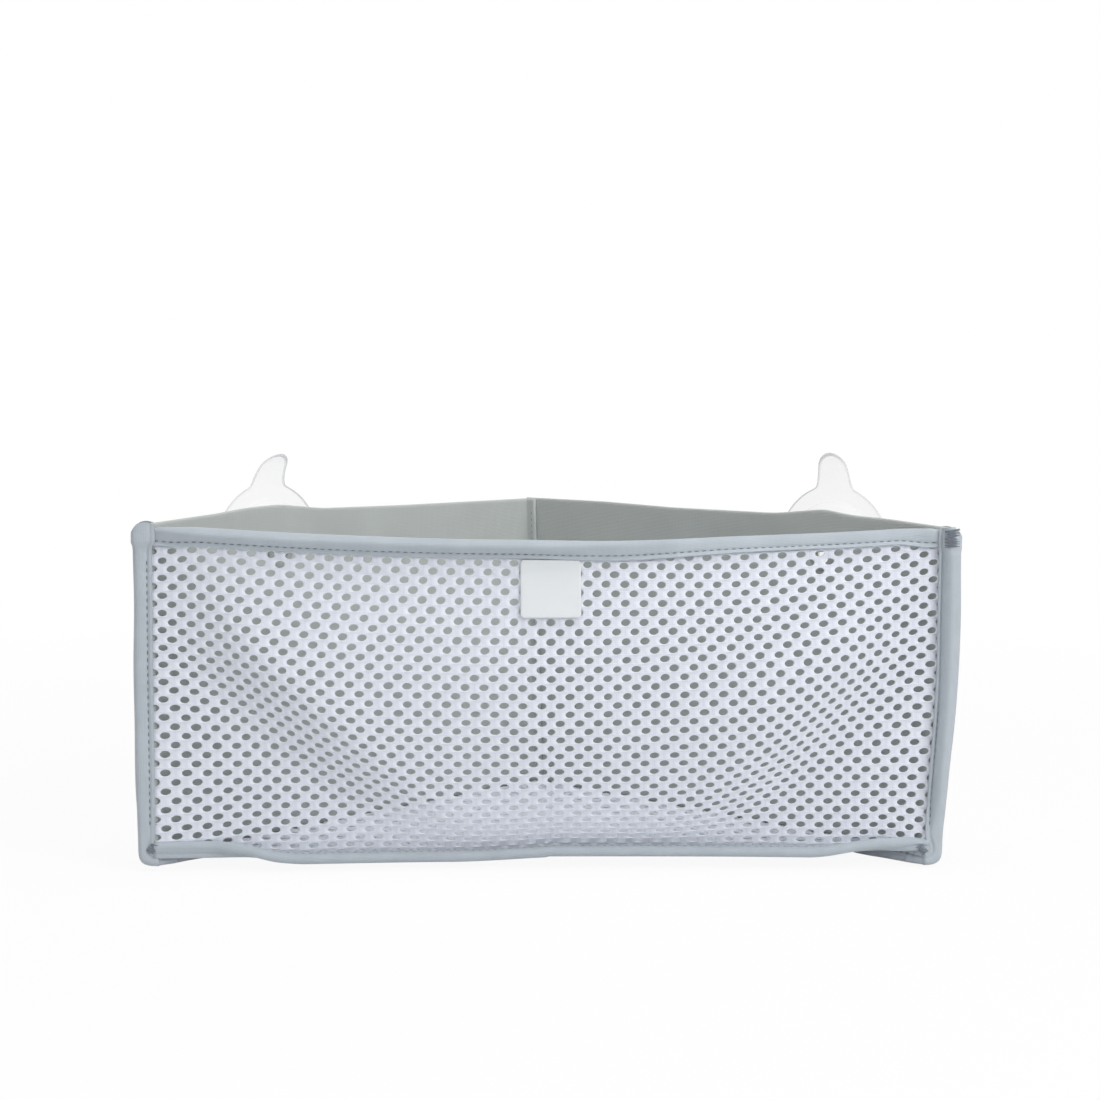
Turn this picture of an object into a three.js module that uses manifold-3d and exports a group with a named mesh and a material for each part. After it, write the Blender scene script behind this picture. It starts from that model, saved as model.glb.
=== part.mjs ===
// A soft corner organizer for bath toys. Two padded cloth walls stand against the walls of the bath corner.
// A net front and a net base close the bag, folded tape binds the seams, and a suction cup holds each wall.
// Millimetres, +Z up, the net front faces -Y, and the origin lies under the middle of the footprint.

import * as THREE from "three";
import { mergeVertices } from "three/addons/utils/BufferGeometryUtils.js";
import Module from "manifold-3d";

const wasm = await Module();
wasm.setup();

// Bag
const wallLength = 254; // a back wall from the corner seam to the front seam
const bagHeight = 150; // a back wall above the base seam, at both of its ends
const frontDip = 0.4; // the front top edge lies this far under the ends of the walls
const topSag = 6; // and hangs this much lower in the middle
const baseDraw = 10; // the front seam of the base is drawn in this far in the middle
const bellyDepth = 12; // the front net bellies out this far
const bellyLow = 0.75; // under 1 the belly hangs low, at 1 it is fullest half way up
const drawSharp = 6; // how quickly the front net leaves the drawn-in seam
const foldFoot = 80; // half the distance between the belly's two diagonal folds at the base
const foldWidth = 34; // slope of each fold, from its foot to the belly
const seamRise = 3; // the front net stands straight this far above the base seam
const wallThickness = 1.8;
const netThickness = 1;
const lapWidth = 5; // turned end of the left wall, sewn inside the right wall
const layerGap = 0.3; // air between sewn layers, and between pieces that rest on each other
const edgeGap = 0.42; // air between a wall's cut edge and the seam line

// Binding tape, folded once over the edges that it holds
const tapeDepth = 9;
const tapeThickness = 0.6;
const tapeFold = 1.3; // bevel of the folded edge, and how thick the tape is there
const seamMouth = 1; // the open edges of the tape start this far outside a seam line
const lowerRound = 5.5; // corner of a side tape at its lower end
const upperRound = 3.5; // and at its upper end
const tapeRise = 1.5; // a side tape ends this far above the wall
const cornerClear = 4.5; // a base tape stops this far short of the front seam
const backClear = 1.4; // and this far short of the corner seam

// Net holes, in staggered rows
const netPitchAcross = 25;
const netPitchUp = 22;
const netHoleWidth = 12.6;
const netHoleHeight = 8;
const netMargin = 3.5; // solid edge between the base's holes and its seams

// Label patch
const labelWidth = 27.5;
const labelHeight = 25;
const labelThickness = 0.8;
const labelGap = 0.6; // between the patch and the net behind it

// Suction cups and the eyelets that hold them
const leftCupFromFront = 76; // left cup's axis to the front seam, along the wall
const rightCupFromFront = 67; // and the right cup's
const cupDrop = 22.5; // cup axis under the top edge of the wall
const cupLift = 6; // the cup pulls the wall's top edge up this far
const cupRadius = 33;
const cupLip = 3; // flat ring that meets the bath
const lipThickness = 1.2;
const domeRadius = 25.5; // the dome starts at this radius
const domeStep = 0.8;
const cupHollow = 2.5;
const cupStandoff = 8; // lip plane to the outside of the wall
const hubRadius = 9;
const neckRadius = 4;
const knobRadius = 7;
const knobHeight = 4;
const knobBevel = 1.2;
const tabLength = 15; // pull tab beyond the lip
const tabRootWidth = 21;
const tabTipRadius = 8.5;
const tabThickness = 1.4;
const tabBend = 5; // the tip is bent this far away from the bath
const tabRoot = 4; // the tab grows out of the dome this far inside the lip's edge
const turnGap = 0.4; // between the cup's neck and the eyelet
const eyeletWall = 0.9;
const eyeletFlange = 2.2; // flange beyond the eyelet's barrel
const flangeThickness = 0.8;

// Steps along curves
const seamSteps = 24;
const cupSegments = 40;
const eyeletSegments = 24;
const holeSides = 6;
const roundSteps = 4;

// Sizes that follow from those
const halfFront = wallLength * Math.SQRT1_2;
const bagDepth = wallLength * Math.SQRT1_2;
const frontTop = bagHeight - frontDip;
const tapeReach = tapeDepth - tapeFold - 2 * layerGap;
const cupHeight = bagHeight + cupLift - cupDrop;
const barrelBore = neckRadius + turnGap;
const barrelRadius = barrelBore + eyeletWall;
const flangeRadius = barrelRadius + eyeletFlange;
const slant = Math.SQRT1_2;

const wallCloth = new THREE.MeshStandardMaterial({ color: 0x9aa09c, roughness: 0.95, metalness: 0 });
const netCloth = new THREE.MeshStandardMaterial({ color: 0xe6e8f0, roughness: 0.85, metalness: 0 });
const tapeCloth = new THREE.MeshStandardMaterial({ color: 0x98a3aa, roughness: 0.8, metalness: 0 });
const patchCloth = new THREE.MeshStandardMaterial({ color: 0xe2e5e5, roughness: 0.6, metalness: 0 });
const eyeletPlastic = new THREE.MeshStandardMaterial({ color: 0xa9adab, roughness: 0.4, metalness: 0 });
const clearVinyl = new THREE.MeshStandardMaterial({ color: 0xf2f5f6, roughness: 0.12, metalness: 0 });
clearVinyl.transparent = true;
clearVinyl.opacity = 0.35;

// Position-only copy with shared vertices, without the triangles that shrink to a line on an axis.
function welded(geometry) {
  const bare = new THREE.BufferGeometry();
  bare.setAttribute("position", geometry.getAttribute("position").clone());
  bare.setIndex(geometry.index);
  const merged = mergeVertices(bare, 1e-4);
  const kept = [];
  const index = merged.index.array;
  for (let i = 0; i < index.length; i += 3) {
    const [a, b, c] = [index[i], index[i + 1], index[i + 2]];
    if (a !== b && b !== c && c !== a) kept.push(a, b, c);
  }
  merged.setIndex(kept);
  return merged;
}

// Turns the faces round if they point in.
function facingOut(geometry) {
  const point = geometry.getAttribute("position");
  const index = Array.from(geometry.index.array);
  const [a, b, c] = [new THREE.Vector3(), new THREE.Vector3(), new THREE.Vector3()];
  let volume = 0;
  for (let i = 0; i < index.length; i += 3) {
    a.fromBufferAttribute(point, index[i]);
    b.fromBufferAttribute(point, index[i + 1]);
    c.fromBufferAttribute(point, index[i + 2]);
    volume += a.dot(b.cross(c));
  }
  if (volume < 0) index.reverse();
  geometry.setIndex(index);
  return geometry;
}

function solidOf(geometry) {
  const clean = facingOut(welded(geometry));
  const vertProperties = new Float32Array(clean.getAttribute("position").array);
  const triVerts = new Uint32Array(clean.index.array);
  return new wasm.Manifold(new wasm.Mesh({ numProp: 3, vertProperties, triVerts }));
}

function joined(first, ...others) {
  let solid = solidOf(first);
  for (const other of others) solid = solid.add(solidOf(other));
  const mesh = solid.getMesh();
  const geometry = new THREE.BufferGeometry();
  geometry.setAttribute("position", new THREE.BufferAttribute(new Float32Array(mesh.vertProperties), 3));
  geometry.setIndex(Array.from(mesh.triVerts));
  return geometry;
}

// Closed skin over a row of rings that all have the points of one profile.
function loft(profile, rings) {
  const count = profile.length;
  const points = rings.flat().flatMap((point) => point.toArray());
  const index = [];
  for (let i = 0; i + 1 < rings.length; i++) {
    for (let j = 0; j < count; j++) {
      const here = i * count + j;
      const next = i * count + ((j + 1) % count);
      index.push(here, next, next + count, here, next + count, here + count);
    }
  }
  const last = (rings.length - 1) * count;
  for (const [a, b, c] of THREE.ShapeUtils.triangulateShape(profile, [])) {
    index.push(c, b, a, last + a, last + b, last + c);
  }
  const geometry = new THREE.BufferGeometry();
  geometry.setAttribute("position", new THREE.Float32BufferAttribute(points, 3));
  geometry.setIndex(index);
  return facingOut(geometry);
}

// A profile carried along frames, each with an origin and the directions of the profile's two axes.
function sweep(profile, frames) {
  const rings = frames.map(({ origin, u, v }) =>
    profile.map((p) => origin.clone().addScaledVector(u, p.x).addScaledVector(v, p.y)),
  );
  return loft(profile, rings);
}

function box2(minX, maxX, minY, maxY) {
  const corners = [[minX, minY], [maxX, minY], [maxX, maxY], [minX, maxY]];
  return corners.map(([x, y]) => new THREE.Vector2(x, y));
}

// Section of folded tape: open at x = mouth, folded at x = depth, round layers that lie between low and high.
function tapeSection(mouth, depth, low, high) {
  const under = low - layerGap;
  const over = high + layerGap;
  const bottom = under - tapeThickness;
  const top = over + tapeThickness;
  const corners = [
    [mouth, bottom],
    [depth - tapeFold, bottom],
    [depth, bottom + tapeFold],
    [depth, top - tapeFold],
    [depth - tapeFold, top],
    [mouth, top],
    [mouth, over],
    [depth - tapeFold, over],
    [depth - tapeFold, under],
    [mouth, under],
  ];
  return corners.map(([x, y]) => new THREE.Vector2(x, y));
}

// Flat plate from an outline in X and Z: its inner face lies at y = 0 and its outer face at y = -thickness.
function plate(outline, thickness, curveSegments) {
  const geometry = new THREE.ExtrudeGeometry(outline, { depth: thickness, bevelEnabled: false, curveSegments });
  geometry.rotateX(Math.PI / 2);
  return geometry;
}

function ringPoints(x, y, radiusX, radiusY, sides) {
  const points = [];
  for (let i = 0; i < sides; i++) {
    const turn = (2 * Math.PI * i) / sides;
    points.push(new THREE.Vector2(x + radiusX * Math.cos(turn), y + radiusY * Math.sin(turn)));
  }
  return points;
}

function evenStops(from, to, steps) {
  return Array.from({ length: steps + 1 }, (_, i) => from + ((to - from) * i) / steps);
}

// Rectangles between stops in X and Z, two triangles each.
function quads(across, up) {
  const triangles = [];
  for (let i = 0; i + 1 < across.length; i++) {
    for (let j = 0; j + 1 < up.length; j++) {
      const [a, b, c, d] = box2(across[i], across[i + 1], up[j], up[j + 1]);
      triangles.push([a, b, c], [a, c, d]);
    }
  }
  return triangles;
}

// Staggered rows of net cells, each a ring of triangles round one oval hole. A cell is two stops wide.
function netCells(across, up) {
  const triangles = [];
  const last = across.length - 1;
  for (let row = 0; row + 1 < up.length; row++) {
    const first = row % 2;
    for (let stop = first; stop + 2 <= last - first; stop += 2) {
      triangles.push(...netCell(across[stop], up[row], across[stop + 2] - across[stop], up[row + 1] - up[row]));
    }
    if (first === 1) {
      triangles.push(...quads([across[0], across[1]], [up[row], up[row + 1]]));
      triangles.push(...quads([across[last - 1], across[last]], [up[row], up[row + 1]]));
    }
  }
  return triangles;
}

function netCell(x, y, wide, tall) {
  const corners = [[1, 0], [1, 1], [0.5, 1], [0, 1], [0, 0], [0.5, 0]];
  const rim = corners.map(([u, v]) => new THREE.Vector2(x + u * wide, y + v * tall));
  const hole = ringPoints(x + wide / 2, y + tall / 2, netHoleWidth / 2, netHoleHeight / 2, rim.length);
  const triangles = [];
  for (let i = 0; i < rim.length; i++) {
    const next = (i + 1) % rim.length;
    triangles.push([rim[i], rim[next], hole[i]], [rim[next], hole[next], hole[i]]);
  }
  return triangles;
}

// Plate from triangles in X and Z, with a wall along every edge that only one triangle has.
function thickened(triangles, thickness) {
  const numbers = new Map();
  const points = [];
  const numberOf = (p) => {
    const key = `${p.x.toFixed(4)} ${p.y.toFixed(4)}`;
    if (!numbers.has(key)) {
      numbers.set(key, points.length / 3);
      points.push(p.x, 0, p.y, p.x, -thickness, p.y);
    }
    return numbers.get(key);
  };
  const edges = new Map();
  const index = [];
  for (const [a, b, c] of triangles.map((triangle) => triangle.map(numberOf))) {
    index.push(a, c, b, a + 1, b + 1, c + 1);
    for (const [from, to] of [[a, b], [b, c], [c, a]]) {
      if (!edges.delete(`${to} ${from}`)) edges.set(`${from} ${to}`, [from, to]);
    }
  }
  for (const [from, to] of edges.values()) index.push(from, to, to + 1, from, to + 1, from + 1);
  const geometry = new THREE.BufferGeometry();
  geometry.setAttribute("position", new THREE.Float32BufferAttribute(points, 3));
  geometry.setIndex(index);
  return facingOut(geometry);
}

function smooth(value) {
  const t = Math.min(Math.max(value, 0), 1);
  return t * t * (3 - 2 * t);
}

// 1 in the middle of the front, 0 at the side seams.
function middleShare(x) {
  return Math.max(0, 1 - (x / halfFront) ** 2);
}

function topEdge(x) {
  return frontTop - topSag * middleShare(x);
}

function baseSeam(x) {
  return baseDraw * middleShare(x);
}

// Where the front net lies, front to back: drawn in at the base seam, and bellied out above it
// between two folds that run from the top corners down to the base seam.
function frontPlace(x, z) {
  const up = (z - seamRise) / (frontTop - tapeDepth - seamRise);
  const rise = Math.min(Math.max(up, 0), 1);
  const foldLine = foldFoot + (halfFront - foldFoot) * rise;
  const inside = smooth((foldLine - Math.abs(x)) / foldWidth);
  const belly = bellyDepth * inside * Math.sin(Math.PI * rise ** bellyLow);
  return baseSeam(x) * (1 - rise) ** drawSharp - belly;
}

// Moves the flat net to where the front hangs. What lies under the fold at its foot turns forward as a toe.
function drape(geometry) {
  const point = geometry.getAttribute("position");
  for (let i = 0; i < point.count; i++) {
    const [x, y, z] = [point.getX(i), point.getY(i), point.getZ(i)];
    const toe = layerGap - z;
    if (toe >= 0) point.setXYZ(i, x, baseSeam(x) - Math.max(toe, -y), layerGap - y);
    else point.setXYZ(i, x, y + frontPlace(x, z), (z * topEdge(x)) / frontTop);
  }
  return geometry;
}

const acrossFront = [];
for (let i = 0; i <= seamSteps; i++) acrossFront.push(halfFront * ((2 * i) / seamSteps - 1));

// The draped net with a straight hem on each edge, where the tapes hold it, and a toe in the base tape.
function frontNet() {
  const high = frontTop - tapeDepth - layerGap;
  const top = frontTop - tapeDepth + tapeReach;
  const columns = Math.round((2 * halfFront) / netPitchAcross);
  const rows = 2 * Math.round((high - seamRise) / netPitchUp);
  const across = evenStops(-halfFront, halfFront, 2 * columns);
  const up = evenStops(seamRise, high, rows);
  const hemEdge = halfFront + tapeReach;
  const triangles = [
    ...netCells(across, up),
    ...quads(across, [high, top]),
    ...quads(across, [layerGap, seamRise]),
    ...quads(across.slice(1, -1), [layerGap - tapeReach, layerGap]),
    ...quads([halfFront, hemEdge], [layerGap, ...up, top]),
    ...quads([-hemEdge, -halfFront], [layerGap, ...up, top]),
  ];
  return drape(thickened(triangles, netThickness));
}

// Frames along the front's top edge, at the open edges of its tape, pointing up and back.
function topFrames(scale) {
  return acrossFront.map((across) => {
    const x = across * scale;
    const origin = new THREE.Vector3(x, 0, topEdge(x) - tapeDepth);
    return { origin, u: new THREE.Vector3(0, 0, 1), v: new THREE.Vector3(0, 1, 0) };
  });
}

// Frames along the front seam of the base, pointing forward and up.
function baseSeamFrames(endGap) {
  const scale = (halfFront - endGap) / halfFront;
  return acrossFront.map((across) => {
    const x = across * scale;
    const origin = new THREE.Vector3(x, baseSeam(x), 0);
    return { origin, u: new THREE.Vector3(0, -1, 0), v: new THREE.Vector3(0, 0, 1) };
  });
}

// A point of the left side, given along the wall from the corner seam, in from the wall's inner face, and up.
function leftWallPoint(along, inward, up) {
  return new THREE.Vector3((inward - along) * slant, bagDepth - (along + inward) * slant, up);
}

// Frames along the base seam of the left wall: out and down, and out and up.
function leftBaseFrames(start, end) {
  const u = new THREE.Vector3(-slant * slant, slant * slant, -slant);
  const v = new THREE.Vector3(-slant * slant, slant * slant, slant);
  return [start, end].map((along) => ({ origin: leftWallPoint(along, 0, 0), u, v }));
}

function baseNet() {
  const cut = 2 * cornerClear;
  const edge = halfFront - edgeGap;
  const points = [];
  for (const across of acrossFront) {
    const x = (across * (halfFront - cut)) / halfFront;
    points.push(new THREE.Vector2(x, baseSeam(x) - tapeReach));
  }
  points.push(new THREE.Vector2(edge - cornerClear, cornerClear));
  points.push(new THREE.Vector2(0, edge));
  points.push(new THREE.Vector2(cornerClear - edge, cornerClear));
  const outline = new THREE.Shape(points);
  const room = netMargin + netHoleWidth / 2;
  const columns = Math.ceil(halfFront / netPitchAcross);
  const rows = Math.floor((bagDepth - baseDraw - 2 * room) / (netPitchUp / 2));
  for (let row = 0; row <= rows; row++) {
    const y = baseDraw + room + (row * netPitchUp) / 2;
    const shift = row % 2 === 0 ? 0 : netPitchAcross / 2;
    for (let column = -columns; column <= columns; column++) {
      const x = column * netPitchAcross + shift;
      if (Math.abs(x) + y > halfFront - 2 * room) continue;
      outline.holes.push(new THREE.Path(ringPoints(x, y, netHoleWidth / 2, netHoleHeight / 2, holeSides)));
    }
  }
  const panel = new THREE.ExtrudeGeometry(outline, { depth: netThickness, bevelEnabled: false });
  panel.translate(0, 0, -netThickness);
  const turned = box2(0, tapeReach, -layerGap / 2 - netThickness, -layerGap / 2);
  const left = sweep(turned, leftBaseFrames(backClear, wallLength - 2 * cornerClear));
  const right = left.clone().scale(-1, 1, 1);
  return joined(panel, left, right);
}

function frontTopTape() {
  const endGap = tapeThickness + 3 * layerGap + edgeGap;
  return sweep(tapeSection(0, tapeDepth, -netThickness, 0), topFrames(1 - endGap / halfFront));
}

function frontBaseTape() {
  const mouth = netThickness + 2 * layerGap;
  const section = tapeSection(mouth, tapeDepth, -netThickness, layerGap + netThickness);
  return sweep(section, baseSeamFrames(2 * layerGap));
}

// Upright tape on the left, with both of its outer corners rounded.
function sideTape() {
  const foot = tapeFoot();
  const head = bagHeight + tapeRise;
  const levels = [];
  for (let i = 0; i <= roundSteps; i++) {
    const turn = (Math.PI / 2) * (i / roundSteps);
    levels.push([foot + lowerRound * (1 - Math.cos(turn)), lowerRound * (1 - Math.sin(turn))]);
  }
  for (let i = roundSteps; i >= 0; i--) {
    const turn = (Math.PI / 2) * (i / roundSteps);
    levels.push([head - upperRound * (1 - Math.cos(turn)), upperRound * (1 - Math.sin(turn))]);
  }
  const section = (cut) => tapeSection(seamMouth, tapeDepth - cut, -netThickness, layerGap + wallThickness);
  const rings = levels.map(([z, cut]) =>
    section(cut).map((p) => new THREE.Vector3(-halfFront - p.x, p.y, z)),
  );
  return loft(section(0), rings);
}

const wallSeamLow = -layerGap / 2 - netThickness;
const wallSeamHigh = layerGap / 2 + wallThickness;

// Height of the base tapes' flat lower edge, on which the bag stands.
function tapeFoot() {
  return (wallSeamLow - layerGap - tapeThickness - (tapeDepth - tapeFold)) * slant;
}

function baseTape() {
  const section = tapeSection(seamMouth, tapeDepth, wallSeamLow, wallSeamHigh);
  return sweep(section, leftBaseFrames(backClear, wallLength - cornerClear));
}

// Left wall in its own frame: X along the wall from the corner seam, Y into the bag.
function backWall(lapped, cupFromFront) {
  const cupAlong = wallLength - cupFromFront;
  const start = lapped ? layerGap : -wallThickness;
  const end = wallLength - edgeGap;
  const outline = new THREE.Shape();
  outline.moveTo(start, edgeGap);
  outline.lineTo(end, edgeGap);
  outline.lineTo(end, bagHeight);
  const crest = bagHeight + cupLift;
  const ease = cupFromFront / 2;
  outline.bezierCurveTo(end - ease, bagHeight, cupAlong + ease, crest, cupAlong, crest);
  outline.bezierCurveTo(cupAlong - ease, crest, cupAlong / 2, bagHeight + cupLift / 2, start, bagHeight);
  outline.closePath();
  const hole = barrelRadius + layerGap;
  outline.holes.push(new THREE.Path(ringPoints(cupAlong, cupHeight, hole, hole, eyeletSegments)));
  const pieces = [plate(outline, wallThickness, seamSteps / 2)];

  const outward = new THREE.Vector3(0, -slant, -slant);
  const upward = new THREE.Vector3(0, -slant, slant);
  const foot = box2(0, tapeReach, layerGap / 2, layerGap / 2 + wallThickness);
  const ends = [backClear, wallLength - 2 * cornerClear];
  pieces.push(sweep(foot, ends.map((x) => ({ origin: new THREE.Vector3(x, 0, 0), u: outward, v: upward }))));

  const along = new THREE.Vector3(slant, -slant, 0);
  const back = new THREE.Vector3(-slant, -slant, 0);
  const side = box2(-layerGap, tapeReach, layerGap, layerGap + wallThickness);
  const heights = [cornerClear, bagHeight - upperRound];
  const corner = heights.map((z) => ({ origin: new THREE.Vector3(wallLength, 0, z), u: along, v: back }));
  pieces.push(sweep(side, corner));

  if (lapped) {
    const lap = new THREE.BoxGeometry(wallThickness, lapWidth + wallThickness / 2, bagHeight - 2 * edgeGap);
    lap.translate(layerGap + wallThickness / 2, (lapWidth - wallThickness / 2) / 2, bagHeight / 2);
    pieces.push(lap);
  }
  return joined(...pieces);
}

const flangeFace = layerGap + flangeThickness; // inner face of the eyelet, on the bag's side of the wall
const washerFace = -wallThickness - layerGap - flangeThickness;
const lipPlane = -wallThickness - cupStandoff;

function turnedOn(points, segments) {
  return new THREE.LatheGeometry(points.map(([r, y]) => new THREE.Vector2(r, y)), segments);
}

function eyelet() {
  return turnedOn(
    [
      [barrelBore, washerFace],
      [barrelRadius, washerFace],
      [barrelRadius, layerGap],
      [flangeRadius, layerGap],
      [flangeRadius - flangeThickness / 2, flangeFace],
      [barrelBore, flangeFace],
      [barrelBore, washerFace],
    ],
    eyeletSegments,
  );
}

function eyeletWasher() {
  const inner = barrelRadius + layerGap;
  return turnedOn(
    [
      [inner, washerFace],
      [flangeRadius - flangeThickness / 2, washerFace],
      [flangeRadius, -wallThickness - layerGap],
      [inner, -wallThickness - layerGap],
      [inner, washerFace],
    ],
    eyeletSegments,
  );
}

// The cup turns about Y: its lip faces the bath at -Y, its knob lies in the bag at +Y, and its tab points up.
function suctionCup() {
  const hubFace = washerFace - layerGap;
  const knobFace = flangeFace + layerGap;
  const dishRadius = cupRadius - cupLip;
  const profile = [];
  for (let i = 0; i <= roundSteps; i++) {
    const share = i / roundSteps;
    profile.push([dishRadius * share, lipPlane + cupHollow * (1 - share ** 2)]);
  }
  profile.push([cupRadius, lipPlane]);
  profile.push([cupRadius, lipPlane + lipThickness]);
  profile.push([domeRadius, lipPlane + lipThickness + domeStep / 2]);
  const domeFoot = lipPlane + lipThickness + 2 * domeStep;
  for (let i = 0; i <= roundSteps; i++) {
    const turn = (Math.PI / 2) * (i / roundSteps);
    const radius = hubRadius + (domeRadius - domeStep - hubRadius) * Math.cos(turn);
    profile.push([radius, domeFoot + (hubFace - domeFoot) * Math.sin(turn)]);
  }
  profile.push([neckRadius, hubFace]);
  profile.push([neckRadius, knobFace]);
  profile.push([knobRadius, knobFace]);
  profile.push([knobRadius, knobFace + knobHeight - knobBevel]);
  profile.push([knobRadius - knobBevel, knobFace + knobHeight]);
  profile.push([0, knobFace + knobHeight]);
  return joined(turnedOn(profile, cupSegments), pullTab());
}

function pullTab() {
  const root = cupRadius - tabRoot;
  const tip = cupRadius + tabLength;
  const shoulder = tip - tabTipRadius;
  const outline = [];
  for (let i = 0; i <= roundSteps; i++) {
    const share = i / roundSteps;
    const half = tabRootWidth / 2 + (tabTipRadius - tabRootWidth / 2) * share;
    outline.push(new THREE.Vector2(half, root + (shoulder - root) * share));
  }
  for (let i = 1; i < 2 * roundSteps; i++) {
    const turn = Math.PI * (i / (2 * roundSteps));
    outline.push(new THREE.Vector2(tabTipRadius * Math.cos(turn), shoulder + tabTipRadius * Math.sin(turn)));
  }
  for (let i = roundSteps; i >= 0; i--) {
    outline.push(new THREE.Vector2(-outline[i].x, outline[i].y));
  }
  const tab = plate(new THREE.Shape(outline), tabThickness, 1);
  const point = tab.getAttribute("position");
  for (let i = 0; i < point.count; i++) {
    const beyond = Math.max(0, point.getZ(i) - root) / (tip - root);
    point.setY(i, point.getY(i) + lipPlane + tabThickness + tabBend * beyond ** 2);
  }
  return tab;
}

// Patch on the front net, hanging from the lower edge of the top tape.
function label() {
  const top = topEdge(0) - tapeDepth - layerGap;
  const back = -netThickness - labelGap;
  const section = box2(-labelWidth / 2, labelWidth / 2, back - labelThickness, back);
  const rings = [];
  for (let i = 0; i <= roundSteps; i++) {
    const z = top - labelHeight * (i / roundSteps);
    const place = frontPlace(0, (z * frontTop) / topEdge(0));
    rings.push(section.map((p) => new THREE.Vector3(p.x, p.y + place, z)));
  }
  return loft(section, rings);
}

function addPiece(parent, name, geometry, material) {
  const mesh = new THREE.Mesh(geometry, material);
  mesh.name = name;
  parent.add(mesh);
  return mesh;
}

// One wall with its cup and its two tapes, made as the left side.
function side(name, lapped, cupFromFront) {
  const group = new THREE.Group();
  const wall = new THREE.Group();
  wall.position.set(0, bagDepth, 0);
  wall.rotation.z = -0.75 * Math.PI;
  group.add(wall);
  addPiece(wall, `${name}_back_panel`, backWall(lapped, cupFromFront), wallCloth);
  addPiece(group, `${name}_side_binding`, sideTape(), tapeCloth);
  addPiece(group, `${name}_base_binding`, baseTape(), tapeCloth);

  const cupSeat = new THREE.Group();
  cupSeat.position.set(wallLength - cupFromFront, 0, cupHeight);
  wall.add(cupSeat);
  addPiece(cupSeat, `${name}_eyelet`, eyelet(), eyeletPlastic);
  addPiece(cupSeat, `${name}_eyelet_washer`, eyeletWasher(), eyeletPlastic);
  addPiece(cupSeat, `${name}_suction_cup`, suctionCup(), clearVinyl);
  return group;
}

const organizer = new THREE.Group();
organizer.add(side("left", true, leftCupFromFront));
const rightSide = side("right", false, rightCupFromFront);
rightSide.scale.x = -1;
organizer.add(rightSide);
addPiece(organizer, "front_net_panel", frontNet(), netCloth);
addPiece(organizer, "base_net_panel", baseNet(), netCloth);
addPiece(organizer, "front_top_binding", frontTopTape(), tapeCloth);
addPiece(organizer, "front_base_binding", frontBaseTape(), tapeCloth);
addPiece(organizer, "front_label", label(), patchCloth);

const bounds = new THREE.Box3().setFromObject(organizer, true);
const middle = bounds.getCenter(new THREE.Vector3());
organizer.position.set(-middle.x, -middle.y, -bounds.min.z);

export default organizer;
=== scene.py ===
# Looks of a soft corner organizer for bath toys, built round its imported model.
# Shapes are worked out in millimetres in the bag's own frame: x to the right, y from the front seams to the
# back corner, z up from the base seams. place() turns that into metres in the model's frame.
# A pair of sizes is for the left side and the right, unless its comment says what else it is for.

import math

import bmesh
import bpy
import numpy as np
from mathutils import Matrix, Vector


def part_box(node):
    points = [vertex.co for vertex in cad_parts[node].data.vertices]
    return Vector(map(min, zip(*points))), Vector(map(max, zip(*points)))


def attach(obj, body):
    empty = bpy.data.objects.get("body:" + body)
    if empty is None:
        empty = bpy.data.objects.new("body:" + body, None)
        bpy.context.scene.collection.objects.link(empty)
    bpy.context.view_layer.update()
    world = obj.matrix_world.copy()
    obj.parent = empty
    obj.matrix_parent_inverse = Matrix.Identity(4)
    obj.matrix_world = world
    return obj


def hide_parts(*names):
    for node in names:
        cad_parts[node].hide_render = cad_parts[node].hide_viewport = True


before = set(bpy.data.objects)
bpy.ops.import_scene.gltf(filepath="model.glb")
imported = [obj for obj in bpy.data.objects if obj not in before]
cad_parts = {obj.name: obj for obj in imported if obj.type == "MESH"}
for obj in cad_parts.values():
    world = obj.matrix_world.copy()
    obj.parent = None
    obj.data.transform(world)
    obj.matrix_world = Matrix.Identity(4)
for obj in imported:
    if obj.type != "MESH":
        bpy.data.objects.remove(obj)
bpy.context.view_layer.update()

# Bag, as in the part's source
WALL_LENGTH = 254.0
BAG_HEIGHT = 150.0
FRONT_TOP = 150.8
TOP_SAG = 6.8
BASE_DRAW = 10.0
BELLY_DEPTH = 13.0
BELLY_LOW = 0.95
DRAW_SHARP = 2.2
SEAM_RISE = 3.0
WALL_THICKNESS = 1.8
NET_THICKNESS = 1.0
LAP_WIDTH = 5.0
GAP = 0.3
SLANT = math.sqrt(0.5)
HALF = WALL_LENGTH * SLANT

# Tape, as in the part's source, and its width before it is folded
TAPE_DEPTH = 9.0
TAPE_THICKNESS = 0.6
SEAM_MOUTH = 1.0
TAPE_FOLD = 1.3
TAPE_REACH = TAPE_DEPTH - TAPE_FOLD - 2 * GAP
TAPE_LAYERS = GAP + TAPE_THICKNESS
WALL_SEAM_LOW = -GAP / 2 - NET_THICKNESS
WALL_SEAM_HIGH = GAP / 2 + WALL_THICKNESS
TAPE_FOOT = (WALL_SEAM_LOW - TAPE_LAYERS - TAPE_DEPTH + TAPE_FOLD) * SLANT

# Folds of the front net: distance from the middle at the base seam, lean outwards per height, and width
FOLD_FOOT = (42.0, 66.0)
FOLD_LEAN = (1.12, 0.88)
FOLD_WIDTH = 54.0
# Cloth that gathers at the folds: share, reach to either side, and height where it ends
FOLD_GATHER = (0.07, 0.11)
FOLD_BAND = 35.0
FOLD_TOP = 78.0
# Way in from the side seams over which the belly grows, and what is added to it near the top
SEAM_EASE = 18.0
SEAM_EASE_TOP = 30.0
# Pull of the net to the middle under the top tape, sag of its rows, droop and stretch at the lower corners
TOP_PULL = (2.6, 1.4)
ROW_SAG = 5.7
CORNER_DROOP = (5.0, 3.5)
CORNER_STRETCH = (0.14, 0.02)

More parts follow.
